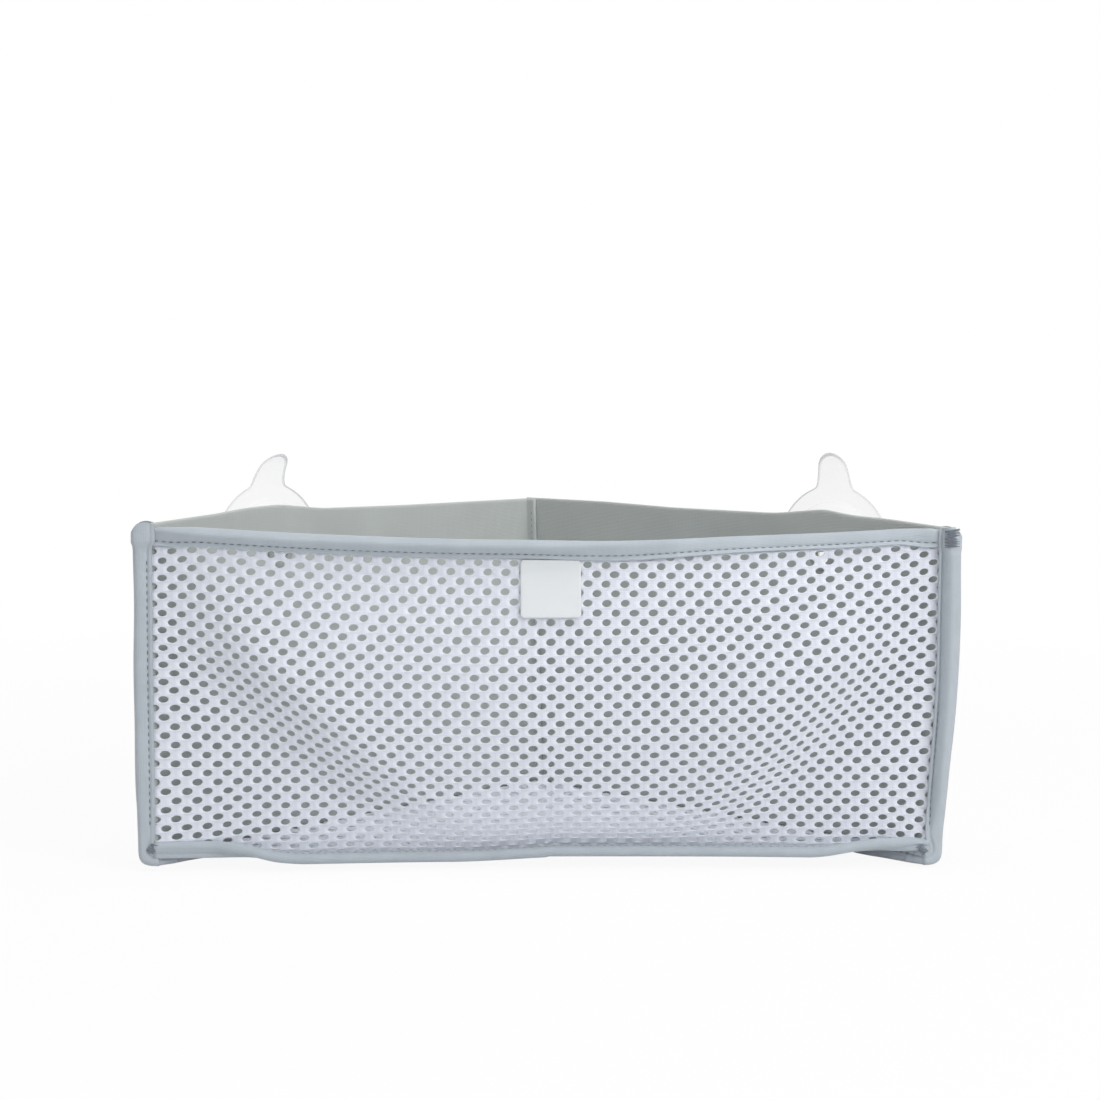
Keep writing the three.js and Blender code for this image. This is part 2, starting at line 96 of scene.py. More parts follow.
# Hang of the soft bag: how far the sides are drawn in low down, up to which height, how far the corner seam
# leans at its foot and at its head, how far each side tape turns back, and height of the walls' slow waves
SIDE_DRAW = (0.4, 4.6)
DRAW_TOP = 95.0
CORNER_LEAN = (2.2, -2.8)
SIDE_TURN = (0.0, 8.0)
WAVE_HEIGHT = 165.0

# Top edge of the walls: distance from the corner seam, and height over the bag's. It rises at the cup
WALL_STOPS = (
    (
        (-6, 1.0), (0, 1.0), (95, 2.2), (150, 3.4), (178, 6.6),
        (198, 6.0), (216, 4.2), (240, 2.8), (264, 1.3),
    ),
    (
        (-6, 1.4), (0, 1.4), (48, 2.0), (95, 1.3), (158, 2.0),
        (188, 5.6), (198, 3.9), (208, 3.3), (222, 3.0), (264, 0.3),
    ),
)

# Lower corners: the side tape runs round them and on along the wall. Height of the seam there, length of
# that run, depth of the tape, and how square it goes round
CORNER_SEAT = (2.2, 1.0)
CORNER_RUN = 10.0
CORNER_DEPTH = 7.4
CORNER_SQUARE = 3.5
# Turn of the base tapes from slanting to hanging: angle, distance from the corner where it starts, length
BASE_TURN = 62.0
TURN_START = 62.0
TURN_RUN = 48.0
# How far the base tapes' back ends run on to meet behind the corner, as a share of a whole mitre
BASE_MITRE = 0.9

# Upper ends of the side tapes: height, roundness, how far the turned end falls off sideways, and its bulge
SIDE_HEAD = (152.6, 151.0)
SIDE_ROUND = (2.5, 5.0)
SIDE_DROP = (2.4, 1.2)
SIDE_COLLAR = (1.5, 0.8)

# Section of the side tapes: rise of the roll, share of it at the back, rise of the flange by the net, where
# the flange starts at the top and at the foot, how far on the roll starts, its skew, and the collar's step
SIDE_PUFF = (1.0, 5.6)
SIDE_BACK = (1.0, 0.2)
SIDE_FLARE = (0.25, 1.2)
SIDE_MOUTH = (0.2, -2.0)
SIDE_MOUTH_LOW = (0.2, -1.2)
SIDE_CREASE = (2.3, 1.9)
SIDE_SKEW = (1.2, 0.65)
SIDE_STEP = (1.6, 0.3)

# Front base tape: it rolls up against the net towards the corners, and its seam lifts
BASE_ROLL = (76.0, 30.0)
BASE_ROLL_END = 80.0
BASE_LIFT = (-1.2, 2.2)
BASE_SLACK = (2.2, 0.0)
BASE_END = (0.0, 1.2)
ROLL_START = 122.0
ROLL_END = 164.0

# Front top tape: its face leans forward or back, its lower edge is drawn up, and the net rises with it
TOP_LEAN = (-38.0, 34.0)
TOP_RISE = (0.6, -0.1)
TOP_PUFF = (1.4, 0.9)
TOP_SKEW = (2.0, 1.2)
TOP_FLARE = (0.8, 0.16)
NET_RISE = (2.6, -0.4)

# Mesh cloth: cells, half sizes of the oval holes and widths of the rings of yarn round them, both across and
# up, sides and tilt of a hole, and how uneven the holes are in place and in size
NET_PITCH = 8.6
NET_ROW = 4.0
HOLE_HALF = (2.02, 1.44)
RING_WIDTH = (0.42, 0.34)
HOLE_SIDES = 16
HOLE_TILT = 8.0
HOLE_SCATTER = 0.012
HOLE_SPREAD = 0.035
# Half thickness between the rings and on them, as a share of the net's thickness
BETWEEN_SHARE = 0.3
RING_SHARE = 0.58
# Painted light by a hole's edge: a raised ring has 1 (painted highlight), a sunken junction 0 (painted shade)
HOLE_RELIEF_SHADE = 0.7
# How deep the nets' edges reach into the front base tape and into the side tapes at most
TOE_REACH = 4.2
SIDE_TOE_REACH = 4.6

# Stitching, and the pucker that a stitch makes
STITCH_PITCH = 3.4
STITCH_LENGTH = 2.3
STITCH_WIDTH = 0.5
STITCH_INSET = 2.3
STITCH_SINK = 0.1
TACK_WIDTH = 0.62
PUCKER = 0.07

# Cups and eyelets, as in the part's source
CUP_ALONG = (WALL_LENGTH - 76.0, WALL_LENGTH - 67.0)
CUP_HEIGHT = 133.5
CUP_RADIUS = 33.0
CUP_LIP = 3.0
LIP_THICKNESS = 1.2
RIM_THICKNESS = 1.7
RIM_ROUND = 0.5
DOME_RADIUS = 25.5
DOME_STEP = 0.8
CUP_HOLLOW = 2.5
CUP_STANDOFF = 8.0
HUB_RADIUS = 9.0
NECK_RADIUS = 4.0
KNOB_RADIUS = 7.0
KNOB_HEIGHT = 4.0
TAB_ROOT = 29.0
TAB_TIP = 48.0
TAB_ROOT_HALF = 10.5
TAB_TIP_RADIUS = 8.5
TAB_BEND = 5.0
TAB_BLEND = 26
TAB_SWAY = ((-4.2, 0.0, -1.2), (0.6, 0.0, 0.8))
BARREL_BORE = 4.4
BARREL_RADIUS = 5.3
FLANGE_RADIUS = 7.5
FLANGE_THICKNESS = 0.8
FLANGE_FACE = GAP + FLANGE_THICKNESS
WASHER_FACE = -WALL_THICKNESS - GAP - FLANGE_THICKNESS
LIP_PLANE = -WALL_THICKNESS - CUP_STANDOFF

# Label patch, as in the part's source, and the part of it under the top tape
LABEL_WIDTH = 27.5
LABEL_HEIGHT = 25.0
LABEL_THICKNESS = 0.8
LABEL_BACK = -NET_THICKNESS / 2 - 0.6
LABEL_ROUND = 1.6
LABEL_TUCK = 0.8

# Camera, in the bag's frame
CAMERA_PLACE = (-52.0, -1071.2, 238.7)
CAMERA_YAW = 2.766
CAMERA_PITCH = 5.255
CAMERA_ROLL = 0.344
CAMERA_LENS = 77.56

# Light and floor, in metres and watts: each lamp has a place, a power and a size, and the floor's white grows
# from the nearer to the farther of two distances
AMBIENT = 0.42
LAMP_AIM = (0.0, -0.02, 0.09)
LAMPS = {
    "key": ((1.1, -1.1, 0.95), 12, 0.8),
    "top": ((0.0, -0.2, 1.6), 10.5, 1.0),
    "fill": ((-0.9, -1.8, 0.4), 4, 1.4),
}
FLOOR_WHITE = 0.92
FLOOR_GREY = 0.86
FLOOR_REACH = 6.0
FLOOR_LEVEL = -0.0004
FLOOR_FADE = (0.3, 0.9)
WHITE = (1, 1, 1, 1)

MM = 0.001
SEAM_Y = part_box("left_side_binding")[0].y / MM + NET_THICKNESS + TAPE_LAYERS
SEAM_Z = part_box("left_base_binding")[0].z / MM - TAPE_FOOT

rng = np.random.default_rng(7)


def place(points):
    return (np.asarray(points, float) + (0, SEAM_Y, SEAM_Z)) * MM


def smooth(value):
    t = np.clip(value, 0, 1)
    return t * t * (3 - 2 * t)


def limited(value, most):
    """A value that levels off towards the most that it may be."""
    return most * np.tanh(value / most)


def full_turn(count):
    return 2 * np.pi * np.arange(count) / count


def joined(*parts):
    """Points from their coordinates, of which any may be one number for all."""
    return np.stack(np.broadcast_arrays(*parts), axis=-1)


def by_side(x, pair):
    return np.where(np.asarray(x) < 0, pair[0], pair[1])


def own(side, pair):
    return pair[side > 0]


def settle(points):
    """Hang of the soft bag: drawn in at the lower sides, with turned side tapes and a leaning corner seam."""
    points = np.array(points, float)
    side, y, z = np.sign(points[:, 0]), points[:, 1], points[:, 2]
    out = np.abs(points[:, 0]) - HALF
    turn = np.radians(by_side(side, SIDE_TURN)) * smooth((out + 1.5) / 3)
    x = side * (HALF + out * np.cos(turn) - y * np.sin(turn))
    points[:, 1] = out * np.sin(turn) + y * np.cos(turn)
    draw = by_side(x, SIDE_DRAW) * smooth((DRAW_TOP - z) / DRAW_TOP) * (x / HALF) ** 2
    lean = CORNER_LEAN[0] + (CORNER_LEAN[1] - CORNER_LEAN[0]) * z / BAG_HEIGHT
    points[:, 0] = x - np.sign(x) * draw + lean * np.clip(y / HALF, 0, 1) ** 3
    return points


# Materials

class Nodes:
    """Adds nodes to a material or world, wiring each input that is given a socket."""

    def __init__(self, owner):
        owner.use_nodes = True
        self.tree = owner.node_tree
        self.tree.nodes.clear()

    def add(self, kind, inputs=None, **settings):
        node = self.tree.nodes.new(kind)
        for name, value in settings.items():
            setattr(node, name, value)
        for name, value in (inputs or {}).items():
            if isinstance(value, bpy.types.NodeSocket):
                self.tree.links.new(value, node.inputs[name])
            else:
                node.inputs[name].default_value = value
        return node

    def math(self, operation, first, second):
        return self.add("ShaderNodeMath", {0: first, 1: second}, operation=operation).outputs[0]

    def plus(self, base, value, share):
        return self.math("ADD", base, self.math("MULTIPLY", value, share))

    def mix(self, factor, first, second):
        colours = {6: (*first, 1.0), 7: (*second, 1.0)}
        return self.add("ShaderNodeMix", {0: factor, **colours}, data_type="RGBA").outputs[2]

    def blend(self, factor, first, second):
        return self.add("ShaderNodeMixShader", {0: factor, 1: first.outputs[0], 2: second.outputs[0]})

    def noise(self, vector, scale, detail):
        inputs = {"Vector": vector, "Scale": scale, "Detail": detail}
        return self.add("ShaderNodeTexNoise", inputs).outputs["Fac"]

    def bump(self, height, strength, distance):
        inputs = {"Height": height, "Strength": strength, "Distance": distance}
        return self.add("ShaderNodeBump", inputs).outputs[0]

    def surface(self, shader, kind="ShaderNodeOutputMaterial"):
        self.add(kind, {"Surface": shader.outputs[0]})


def new_material(name):
    """A material, its nodes, and the place on the object as a socket."""
    made = bpy.data.materials.new(name)
    nodes = Nodes(made)
    return made, nodes, nodes.add("ShaderNodeTexCoord").outputs["Object"]


def cloth_material(name, colour, shade, rib, relief, rough, sheen, mottle=45.0, painted_relief_shade=0.0):
    """Woven or knitted cloth: ribs along and across the cloth's own map, thread fuzz, and uneven colour. The
    last argument is the share of painted highlight on the mesh's rings and painted shade between them."""
    made, nodes, position = new_material(name)
    cloth = nodes.add("ShaderNodeUVMap", uv_map="cloth").outputs["UV"]
    wave = {"Vector": cloth, "Distortion": 1.2, "Detail": 1.5, "Detail Scale": 2.0}
    ribs = []
    for pitch, direction in zip(rib, "XY"):
        wave["Scale"] = math.pi / 10 / pitch
        ribs.append(nodes.add("ShaderNodeTexWave", wave, bands_direction=direction).outputs["Fac"])
    weave = nodes.math("MULTIPLY", *ribs)
    fuzz = nodes.noise(cloth, 3.1, 4.0)
    cloud = nodes.noise(position, mottle, 3.0)
    even = 1 - painted_relief_shade
    uneven = nodes.plus(nodes.math("MULTIPLY", cloud, 0.75 * even), weave, 0.5 * even)
    # Painted highlight on the mesh's raised rings and painted shade at the junctions between them
    if painted_relief_shade:
        ring = nodes.add("ShaderNodeAttribute", attribute_name="painted_relief_shade").outputs["Fac"]
        uneven = nodes.plus(uneven, ring, painted_relief_shade)
    shader = {
        "Base Color": nodes.mix(uneven, shade, colour),
        "Roughness": nodes.plus(rough, fuzz, 0.14),
        "Sheen Weight": sheen,
        "Sheen Roughness": 0.5,
        "Specular IOR Level": 0.25,
        "Normal": nodes.bump(nodes.plus(weave, fuzz, 0.6), relief, 0.0004),
    }
    nodes.surface(nodes.add("ShaderNodeBsdfPrincipled", shader))
    return made


def vinyl_material(name, colour, clear, dense):
    """Clear soft vinyl, denser where it is seen edge on, with a faint cloud of moulding marks."""
    made, nodes, position = new_material(name)
    flow = nodes.noise(position, 120.0, 2.0)
    edge = nodes.add("ShaderNodeLayerWeight", {"Blend": 0.3}).outputs["Facing"]
    shader = {
        "Base Color": nodes.mix(flow, [0.94 * c for c in colour], colour),
        "Roughness": nodes.plus(0.06, flow, 0.14),
        "IOR": 1.45,
        "Specular IOR Level": 0.2,
        "Alpha": nodes.plus(clear, edge, dense),
        "Normal": nodes.bump(flow, 0.1, 0.0005),
    }
    nodes.surface(nodes.add("ShaderNodeBsdfPrincipled", shader))
    return made


def plastic_material(name, colour, shade):
    made, nodes, position = new_material(name)
    grain = nodes.noise(position, 900.0, 3.0)
    shader = {
        "Base Color": nodes.mix(grain, shade, colour),
        "Roughness": nodes.plus(0.5, grain, 0.2),
        "Normal": nodes.bump(grain, 0.15, 0.0002),
    }
    nodes.surface(nodes.add("ShaderNodeBsdfPrincipled", shader))
    return made


# A look is a material and the slot that it belongs to
KNIT = cloth_material("wall_knit", (0.565, 0.598, 0.58), (0.47, 0.498, 0.483), (0.9, 0.7), 0.35, 0.8, 0.15)
# The net's colour also carries painted highlight on its raised rings and painted shade at the junctions
NET = cloth_material("net_knit_and_painted_relief_shade", (0.85, 0.88, 0.945), (0.67, 0.705, 0.8), (0.8, 0.8), 0.3, 0.7, 0.1, 160, 0.6)
WEAVE = cloth_material("tape_weave", (0.52, 0.57, 0.615), (0.4, 0.45, 0.5), (0.55, 0.75), 0.4, 0.55, 0.3, 90)
SATIN = cloth_material("patch_satin", (0.78, 0.81, 0.825), (0.70, 0.73, 0.745), (0.5, 0.5), 0.25, 0.5, 0.1)
# Stitch thread, really the tape's blue-grey, painted dark: painted shade of the stitch line's needle holes
SHADED_THREAD = cloth_material("stitch_thread_painted_shade", (0.27, 0.31, 0.35), (0.17, 0.2, 0.24), (0.5, 0.5), 0.6, 0.55, 0.2, 600)
TACK = cloth_material("tack_thread", (0.24, 0.27, 0.31), (0.13, 0.15, 0.18), (0.5, 0.5), 0.6, 0.55, 0.2, 600)
EYELET = plastic_material("eyelet_moulding", (0.37, 0.39, 0.38), (0.31, 0.33, 0.32))
VINYL = vinyl_material("vinyl_moulding", (0.80, 0.805, 0.82), 0.05, 0.3)
# Cup rim: painted greyer and less clear, in for the grey that refraction gives a thick clear edge
VINYL_RIM_SHADE = vinyl_material("vinyl_rim_painted_refraction", (0.55, 0.56, 0.60), 0.3, 0.25)
wall_look = (KNIT, "wall_cloth")
net_look = (NET, "net_cloth")
tape_look = (WEAVE, "binding_tape")
label_look = (SATIN, "label_patch")
shaded_thread_look = (SHADED_THREAD, "binding_tape")
tack_look = (TACK, "binding_tape")
eyelet_look = (EYELET, "eyelet_plastic")
vinyl_look = (VINYL, "clear_vinyl")


# Mesh tools

def new_object(name, data):
    made = bpy.data.objects.new(name, data)
    bpy.context.scene.collection.objects.link(made)
    return made


def edit(mesh, change=None):
    """Changes a mesh, and turns its faces outwards."""
    work = bmesh.new()
    work.from_mesh(mesh)
    if change:
        change(work)
    bmesh.ops.recalc_face_normals(work, faces=work.faces)
    work.to_mesh(mesh)
    work.free()


def piece(name, points, faces, look, body, stands_for=(), cloth=None, painted_relief_shade=None, cut=None):
    """A smooth-shaded piece from points in the bag's frame, riding on a body. cut() may trim its mesh."""
    material, slot = look
    mesh = bpy.data.meshes.new(name)
    mesh.from_pydata(np.asarray(points, float).tolist(), [], faces)
    if cloth is not None:
        layer = mesh.uv_layers.new(name="cloth")
        corner = np.zeros(len(mesh.loops), np.int32)
        mesh.loops.foreach_get("vertex_index", corner)
        layer.data.foreach_set("uv", np.asarray(cloth, np.float32)[corner].ravel())
    # Point attribute that holds the painted highlight and shade of the net's relief
    if painted_relief_shade is not None:
        mesh.attributes.new("painted_relief_shade", "FLOAT", "POINT").data.foreach_set("value", np.asarray(painted_relief_shade, np.float32))
    made = new_object(name, mesh)
    mesh.materials.append(material)
    edit(mesh, cut)
    spots = np.zeros(3 * len(mesh.vertices), np.float32)
    mesh.vertices.foreach_get("co", spots)
    spots = spots.reshape(-1, 3)
    if body == "bag":
        spots = settle(spots)
    mesh.vertices.foreach_set("co", place(spots).astype(np.float32).ravel())
    mesh.polygons.foreach_set("use_smooth", np.ones(len(mesh.polygons), bool))
    mesh.update()
    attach(made, body)
    if stands_for:
        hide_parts(*stands_for)
    return made


def ring_faces(rings, count):
    """Quads between closed rings of count points each, with both end rings capped."""
    faces = []
    for i in range(rings - 1):
        for j in range(count):
            here, after = i * count + j, i * count + (j + 1) % count
            faces.append((here, after, after + count, here + count))
    faces.append(tuple(range(count)))
    faces.append(tuple(range((rings - 1) * count, rings * count)))
    return faces


def lengths(points):
    """Distance along a row of points, from its first."""
    steps = np.linalg.norm(np.diff(np.asarray(points), axis=0), axis=1)
    return np.concatenate([[0], np.cumsum(steps)])


def ring_cloth(rings):
    """Cloth map of swept rings: along the sweep, and round the section."""
    along = lengths([ring.mean(axis=0) for ring in rings])
    return np.array([(a, b) for a, ring in zip(along, rings) for b in lengths(ring)])


def swept(name, rings, look, node, cloth=None):
    """A closed piece of the bag through rings of points."""
    rings = np.array(rings)
    faces = ring_faces(len(rings), rings.shape[1])
    if cloth is None:
        cloth = ring_cloth(rings)
    return piece(name, rings.reshape(-1, 3), faces, look, "bag", [node], cloth)


# The front and base sheets

def middle_share(x):
    return np.maximum(0, 1 - (x / HALF) ** 2)


def top_edge(x):
    return FRONT_TOP - TOP_SAG * middle_share(x)


def across_top(x, pair):
    """A size of the front top's left part that passes into that of its right part."""
    return pair[0] + (pair[1] - pair[0]) * smooth((np.asarray(x) + 20) / 110)


def top_free(x):
    return smooth((HALF - np.abs(x)) / 22)


def top_hang(x):
    """Lean of the front top tape's face, and how far its lower edge is drawn up."""
    lean = np.radians(across_top(x, TOP_LEAN)) * top_free(x)
    return lean, across_top(x, TOP_RISE) * top_free(x) + TAPE_DEPTH * (1 - np.cos(lean))


def base_seam(x):
    return BASE_DRAW * middle_share(x)


def fold_distance(x, z):
    """How far a point of the front lies inside the diagonal fold on its side."""
    return by_side(x, FOLD_FOOT) + by_side(x, FOLD_LEAN) * z - np.abs(x)


def front_place(x, z):
    """Where the front net lies, front to back: drawn in at the base seam, bellied between diagonal folds."""
    rise = np.clip((z - SEAM_RISE) / (FRONT_TOP - TAPE_DEPTH - SEAM_RISE), 0, 1)
    ease = SEAM_EASE + SEAM_EASE_TOP * smooth((z - 50) / 60)
    inside = smooth(fold_distance(x, z) / FOLD_WIDTH + 0.5) * smooth((HALF - np.abs(x)) / ease)
    belly = BELLY_DEPTH * inside * np.sin(np.pi * rise ** BELLY_LOW)
    slack = 0.5 * np.sin(x / 17 + z / 40) * np.sin(np.pi * rise) * inside
    return base_seam(x) * (1 - rise) ** DRAW_SHARP - belly - slack


def gather(x, z):
    """Moves points of the cloth: together across each diagonal fold, to the middle under the top tape, and
    down and in at the lower corners."""
    lean = by_side(x, FOLD_LEAN)
    across = np.sqrt(1 + lean ** 2)
    away = fold_distance(x, z) / across
    share = smooth((z + 4) / 30) * (1 - smooth((z - FOLD_TOP) / 34))
    pull = by_side(x, FOLD_GATHER) * away * np.exp(-((away / FOLD_BAND) ** 2)) * share
    middle = by_side(x, TOP_PULL) * np.sin(np.pi * np.clip(x / HALF, -1, 1)) * smooth((z - 85) / 55)
    inset = np.maximum(0, HALF - np.abs(x))
    hold = smooth(inset / 12)
    stretch = by_side(x, CORNER_STRETCH) * inset * np.exp(-inset / 60) * (1 - smooth((z - 30) / 70))
    droop = by_side(x, CORNER_DROOP) * np.clip(1 - inset / 85, 0, 1) ** 1.4 * (1 - smooth((z - 5) / 75))
    shift = np.sign(x) * (pull / across * hold - stretch) - middle
    return x + shift, z - pull * lean / across * hold - droop


def base_turn(x):
    """Roll of the front base tape, and the height of its seam."""
    share = smooth((np.abs(x) - ROLL_START) / (ROLL_END - ROLL_START))
    slack = by_side(x, BASE_SLACK) * smooth((15 - x) / 60) * smooth((140 - np.abs(x)) / 30)
    roll = by_side(x, BASE_ROLL)
    roll = roll * share + (BASE_ROLL_END - roll) * smooth((np.abs(x) - 160) / 16)
    end = by_side(x, BASE_END) * smooth((np.abs(x) - 156) / 18)
    return np.radians(roll), by_side(x, BASE_LIFT) * share - slack - end


class Sheet:
    """A curved cloth as a table of points that are evenly spread along the cloth, looked up by shares."""

    def __init__(self, points):
        self.points = points
        normal = np.cross(np.gradient(points, axis=1), np.gradient(points, axis=0))
        self.normals = normal / np.linalg.norm(normal, axis=2, keepdims=True)

    def at(self, across, up):
        return self.look(self.points, across, up), self.look(self.normals, across, up)

    def look(self, table, across, up):
        rows, columns = table.shape[:2]
        c = np.clip(np.asarray(across) * (columns - 1), 0, columns - 1.000001)
        r = np.clip(np.asarray(up) * (rows - 1), 0, rows - 1.000001)
        c0, r0 = c.astype(int), r.astype(int)
        c, r = (c - c0)[:, None], (r - r0)[:, None]
        low = table[r0, c0] * (1 - c) + table[r0, c0 + 1] * c
        high = table[r0 + 1, c0] * (1 - c) + table[r0 + 1, c0 + 1] * c
        return low * (1 - r) + high * r


def front_spot(x, z):
    """A point of the front net at a height along its cloth; below zero it lies in the front base tape."""
    inner = smooth((HALF - np.abs(x)) / 6)
    toe = limited(np.maximum(0, -z), TOE_REACH) * inner
    high = np.maximum(0, z)
    round_off = np.sqrt(np.clip(1 - (np.maximum(0, np.abs(x) - HALF) / 6) ** 2, 0.05, 1))
    low = limited(np.minimum(0, z), SIDE_TOE_REACH) * (1 - inner) * round_off
    roll, lift = base_turn(x)
    seat = (lift + GAP + NET_THICKNESS / 2) * np.clip(1 - high / 40, 0, 1)
    sag = TOP_SAG * high / FRONT_TOP + ROW_SAG * np.sin(np.pi * np.clip(high / FRONT_TOP, 0, 1) ** 0.76)
    lean, mouth_rise = top_hang(x)
    rise = across_top(x, NET_RISE) * top_free(x)
    over = np.maximum(0, high - FRONT_TOP + TAPE_DEPTH + rise - mouth_rise)
    depth = front_place(x, high) - toe * np.cos(roll) + over * np.sin(lean)
    level = high + low + seat + toe * np.sin(roll) - sag * middle_share(x)
    level += rise * smooth((high - 100) / 40) - over * (1 - np.cos(lean))
    return joined(x, depth, level)


def front_sheet():
    """The front net, its cells spread evenly along the cloth and then gathered as it hangs."""
    edge = HALF + TAPE_REACH - 2.5
    x = np.linspace(-edge, edge, 421)
    z = np.linspace(2.5 - TAPE_REACH, FRONT_TOP - TAPE_DEPTH + TAPE_REACH, 181)
    level = np.zeros((len(z), len(x)))
    share = np.linspace(0, 1, len(z))
    for i in range(len(x)):
        run = lengths(joined(front_place(x[i], np.maximum(0, z)), z))
        level[:, i] = np.interp(share * run[-1], run, z)
    spots = np.zeros_like(level)
    share = np.linspace(0, 1, len(x))
    for j in range(len(z)):
        run = lengths(joined(x, front_place(x, np.maximum(0, level[j]))))
        spots[j] = np.interp(share * run[-1], run, x)
        level[j] = np.interp(spots[j], x, level[j])
    return Sheet(front_spot(*gather(spots, level)))


def base_sheet():
    """The base net: slack in the middle, with its front edge turned into the front base tape."""
    x = np.linspace(-HALF, HALF, 181)
    y = np.linspace(-TAPE_REACH, HALF, 121)
    across, back = np.meshgrid(x, y)
    roll, lift = base_turn(across)
    toe = limited(np.maximum(0, -back), TOE_REACH)
    seam = base_seam(across)
    room = np.clip(np.minimum(back, (HALF - back - seam - np.abs(across)) * SLANT) / 45, 0, 1)
    sag = 2.4 * np.sin(room * np.pi / 2) + 0.5 * np.sin(across / 13 + back / 19) * room
    tuck = 1.6 * smooth((np.abs(across) - ROLL_START) / 30)
    level = (lift + tuck) * np.clip(1 - back / 30, 0, 1) - sag + toe * np.sin(roll) - NET_THICKNESS / 2
    depth = np.where(back < 0, seam - toe * np.cos(roll), back + seam * (1 - back / HALF))
    return Sheet(joined(across, depth, level))


# Mesh cloth

def net(sheet, columns, rows, keep=None):
    """Staggered cells of mesh cloth, each a rounded ring of thread about an oval hole. Cells are four steps
    wide and high. keep() says which cells there are; without it, half cells fill both sides."""
    cells = [(c + 0.5 * (r % 2), r) for r in range(rows) for c in range(columns - r % 2)]
    cells = np.array([cell for cell in cells if keep is None or keep(*cell)])
    border = [(4, 2), (4, 3), (4, 4), (3, 4), (2, 4), (1, 4), (0, 4), (0, 3)]
    border = np.array(border + [(4 - a, 4 - b) for a, b in border])
    corner = np.rint(cells[:, None, :] * 4).astype(int) + border
    half = []
    if keep is None:
        narrow = [(0, 0), (1, 0), (2, 0), (2, 1), (2, 2), (2, 3)]
        narrow += [(2 - a, 4 - b) for a, b in narrow]
        starts = [(4 * u, 4 * v) for v in range(1, rows, 2) for u in (0, columns - 0.5)]
        half = [[(u + a, v + b) for a, b in narrow] for u, v in starts]
    half = np.rint(np.array(half).reshape(-1, 12, 2)).astype(int)
    every = np.concatenate([corner.reshape(-1, 2), half.reshape(-1, 2)])
    found, number = np.unique(every, axis=0, return_inverse=True)
    number = number.reshape(-1)
    rim = number[: corner.shape[0] * HOLE_SIDES].reshape(-1, HOLE_SIDES)
    side_rim = number[rim.size:].reshape(-1, 12)

    turn = full_turn(HOLE_SIDES)
    circle = joined(np.cos(turn), np.sin(turn))
    tilt = math.radians(HOLE_TILT)
    spin = np.array([[math.cos(tilt), math.sin(tilt)], [-math.sin(tilt), math.cos(tilt)]])
    pitch = np.array([NET_PITCH, NET_ROW])
    middle = cells[:, None, :] + 0.5 + rng.normal(0, HOLE_SCATTER, (len(cells), 1, 2))
    swell = 1 + rng.normal(0, HOLE_SPREAD, (len(cells), 1, 2))
    sizes = (HOLE_HALF, np.add(HOLE_HALF, RING_WIDTH))
    hole, ring = (middle + circle * size @ spin / pitch * swell for size in sizes)

    flat = np.concatenate([found / 4, ring.reshape(-1, 2), hole.reshape(-1, 2)])
    spot, normal = sheet.at(flat[:, 0] / columns, flat[:, 1] / rows)
    rims, rings = len(found), ring.shape[0] * HOLE_SIDES
    thick = np.repeat((BETWEEN_SHARE, RING_SHARE, 0), (rims, rings, rings)) * NET_THICKNESS
    front = spot + normal * thick[:, None]
    back = (spot - normal * thick[:, None])[: rims + rings]
    shift = len(front)
    number_ring = rims + np.arange(rings).reshape(-1, HOLE_SIDES)
    number_hole = number_ring + rings

    faces, edges = [], {}
    for outer, inner, hollow in zip(rim.tolist(), number_ring.tolist(), number_hole.tolist()):
        for k in range(HOLE_SIDES):
            n = (k + 1) % HOLE_SIDES
            faces.append((outer[k], outer[n], inner[n], inner[k]))
            faces.append((inner[k], inner[n], hollow[n], hollow[k]))
            faces.append((outer[n] + shift, outer[k] + shift, inner[k] + shift, inner[n] + shift))
            faces.append((inner[n] + shift, inner[k] + shift, hollow[k], hollow[n]))
    for loop in side_rim.tolist():
        faces.append(tuple(loop))
        faces.append(tuple(v + shift for v in reversed(loop)))
    for loop in rim.tolist() + side_rim.tolist():
        for a, b in zip(loop, loop[1:] + loop[:1]):
            if (b, a) in edges:
                del edges[(b, a)]
            else:
                edges[(a, b)] = True
    faces.extend((b, a, a + shift, b + shift) for a, b in edges)
    cloth = np.concatenate([flat, flat[: rims + rings]]) * pitch
    # Painted highlight and shade of the relief: 1 on the raised rings, less at a hole's edge, 0 at the sunken
    # junctions
    painted_relief_shade = np.repeat((0, 1, HOLE_RELIEF_SHADE, 0, 1), (rims, rings, rings, rims, rings))
    return np.concatenate([front, back]), faces, cloth, painted_relief_shade


def front_net():
    sheet = front_sheet()
    height, width = sheet.points.shape[:2]
    columns = round(lengths(sheet.points[height // 2])[-1] / NET_PITCH)
    rows = round(lengths(sheet.points[:, width // 4])[-1] / NET_ROW)
    points, faces, cloth, painted_relief_shade = net(sheet, columns, rows)
    made = piece("front_net", points, faces, net_look, "bag", ["front_net_panel"], cloth, painted_relief_shade)


def base_net():
    sheet = base_sheet()
    columns, rows = round(2 * HALF / NET_PITCH), round((HALF + TAPE_REACH) / NET_ROW)

    def keep(u, v):
        x = (u + 0.5) / columns * 2 - 1
        y = (v + 0.5) / rows
        return abs(x) + y < 1.09

    points, faces, cloth, painted_relief_shade = net(sheet, columns, rows, keep)
    made = piece("base_net", points, faces, net_look, "bag", ["base_net_panel"], cloth, painted_relief_shade, trim_base)


def trim_base(work):
    """Cuts off the base net along both wall seams, and closes the cut yarns."""
    for side in (-1, 1):
        cut = bmesh.ops.bisect_plane(
            work,
            geom=work.verts[:] + work.edges[:] + work.faces[:],
            dist=1e-4,
            plane_co=(0, HALF - 0.8, 0),
            plane_no=(side * SLANT, SLANT, 0),
            clear_outer=True,
        )
        edges = [item for item in cut["geom_cut"] if isinstance(item, bmesh.types.BMEdge)]
        bmesh.ops.holes_fill(work, edges=edges, sides=0)


# Tapes and stitches

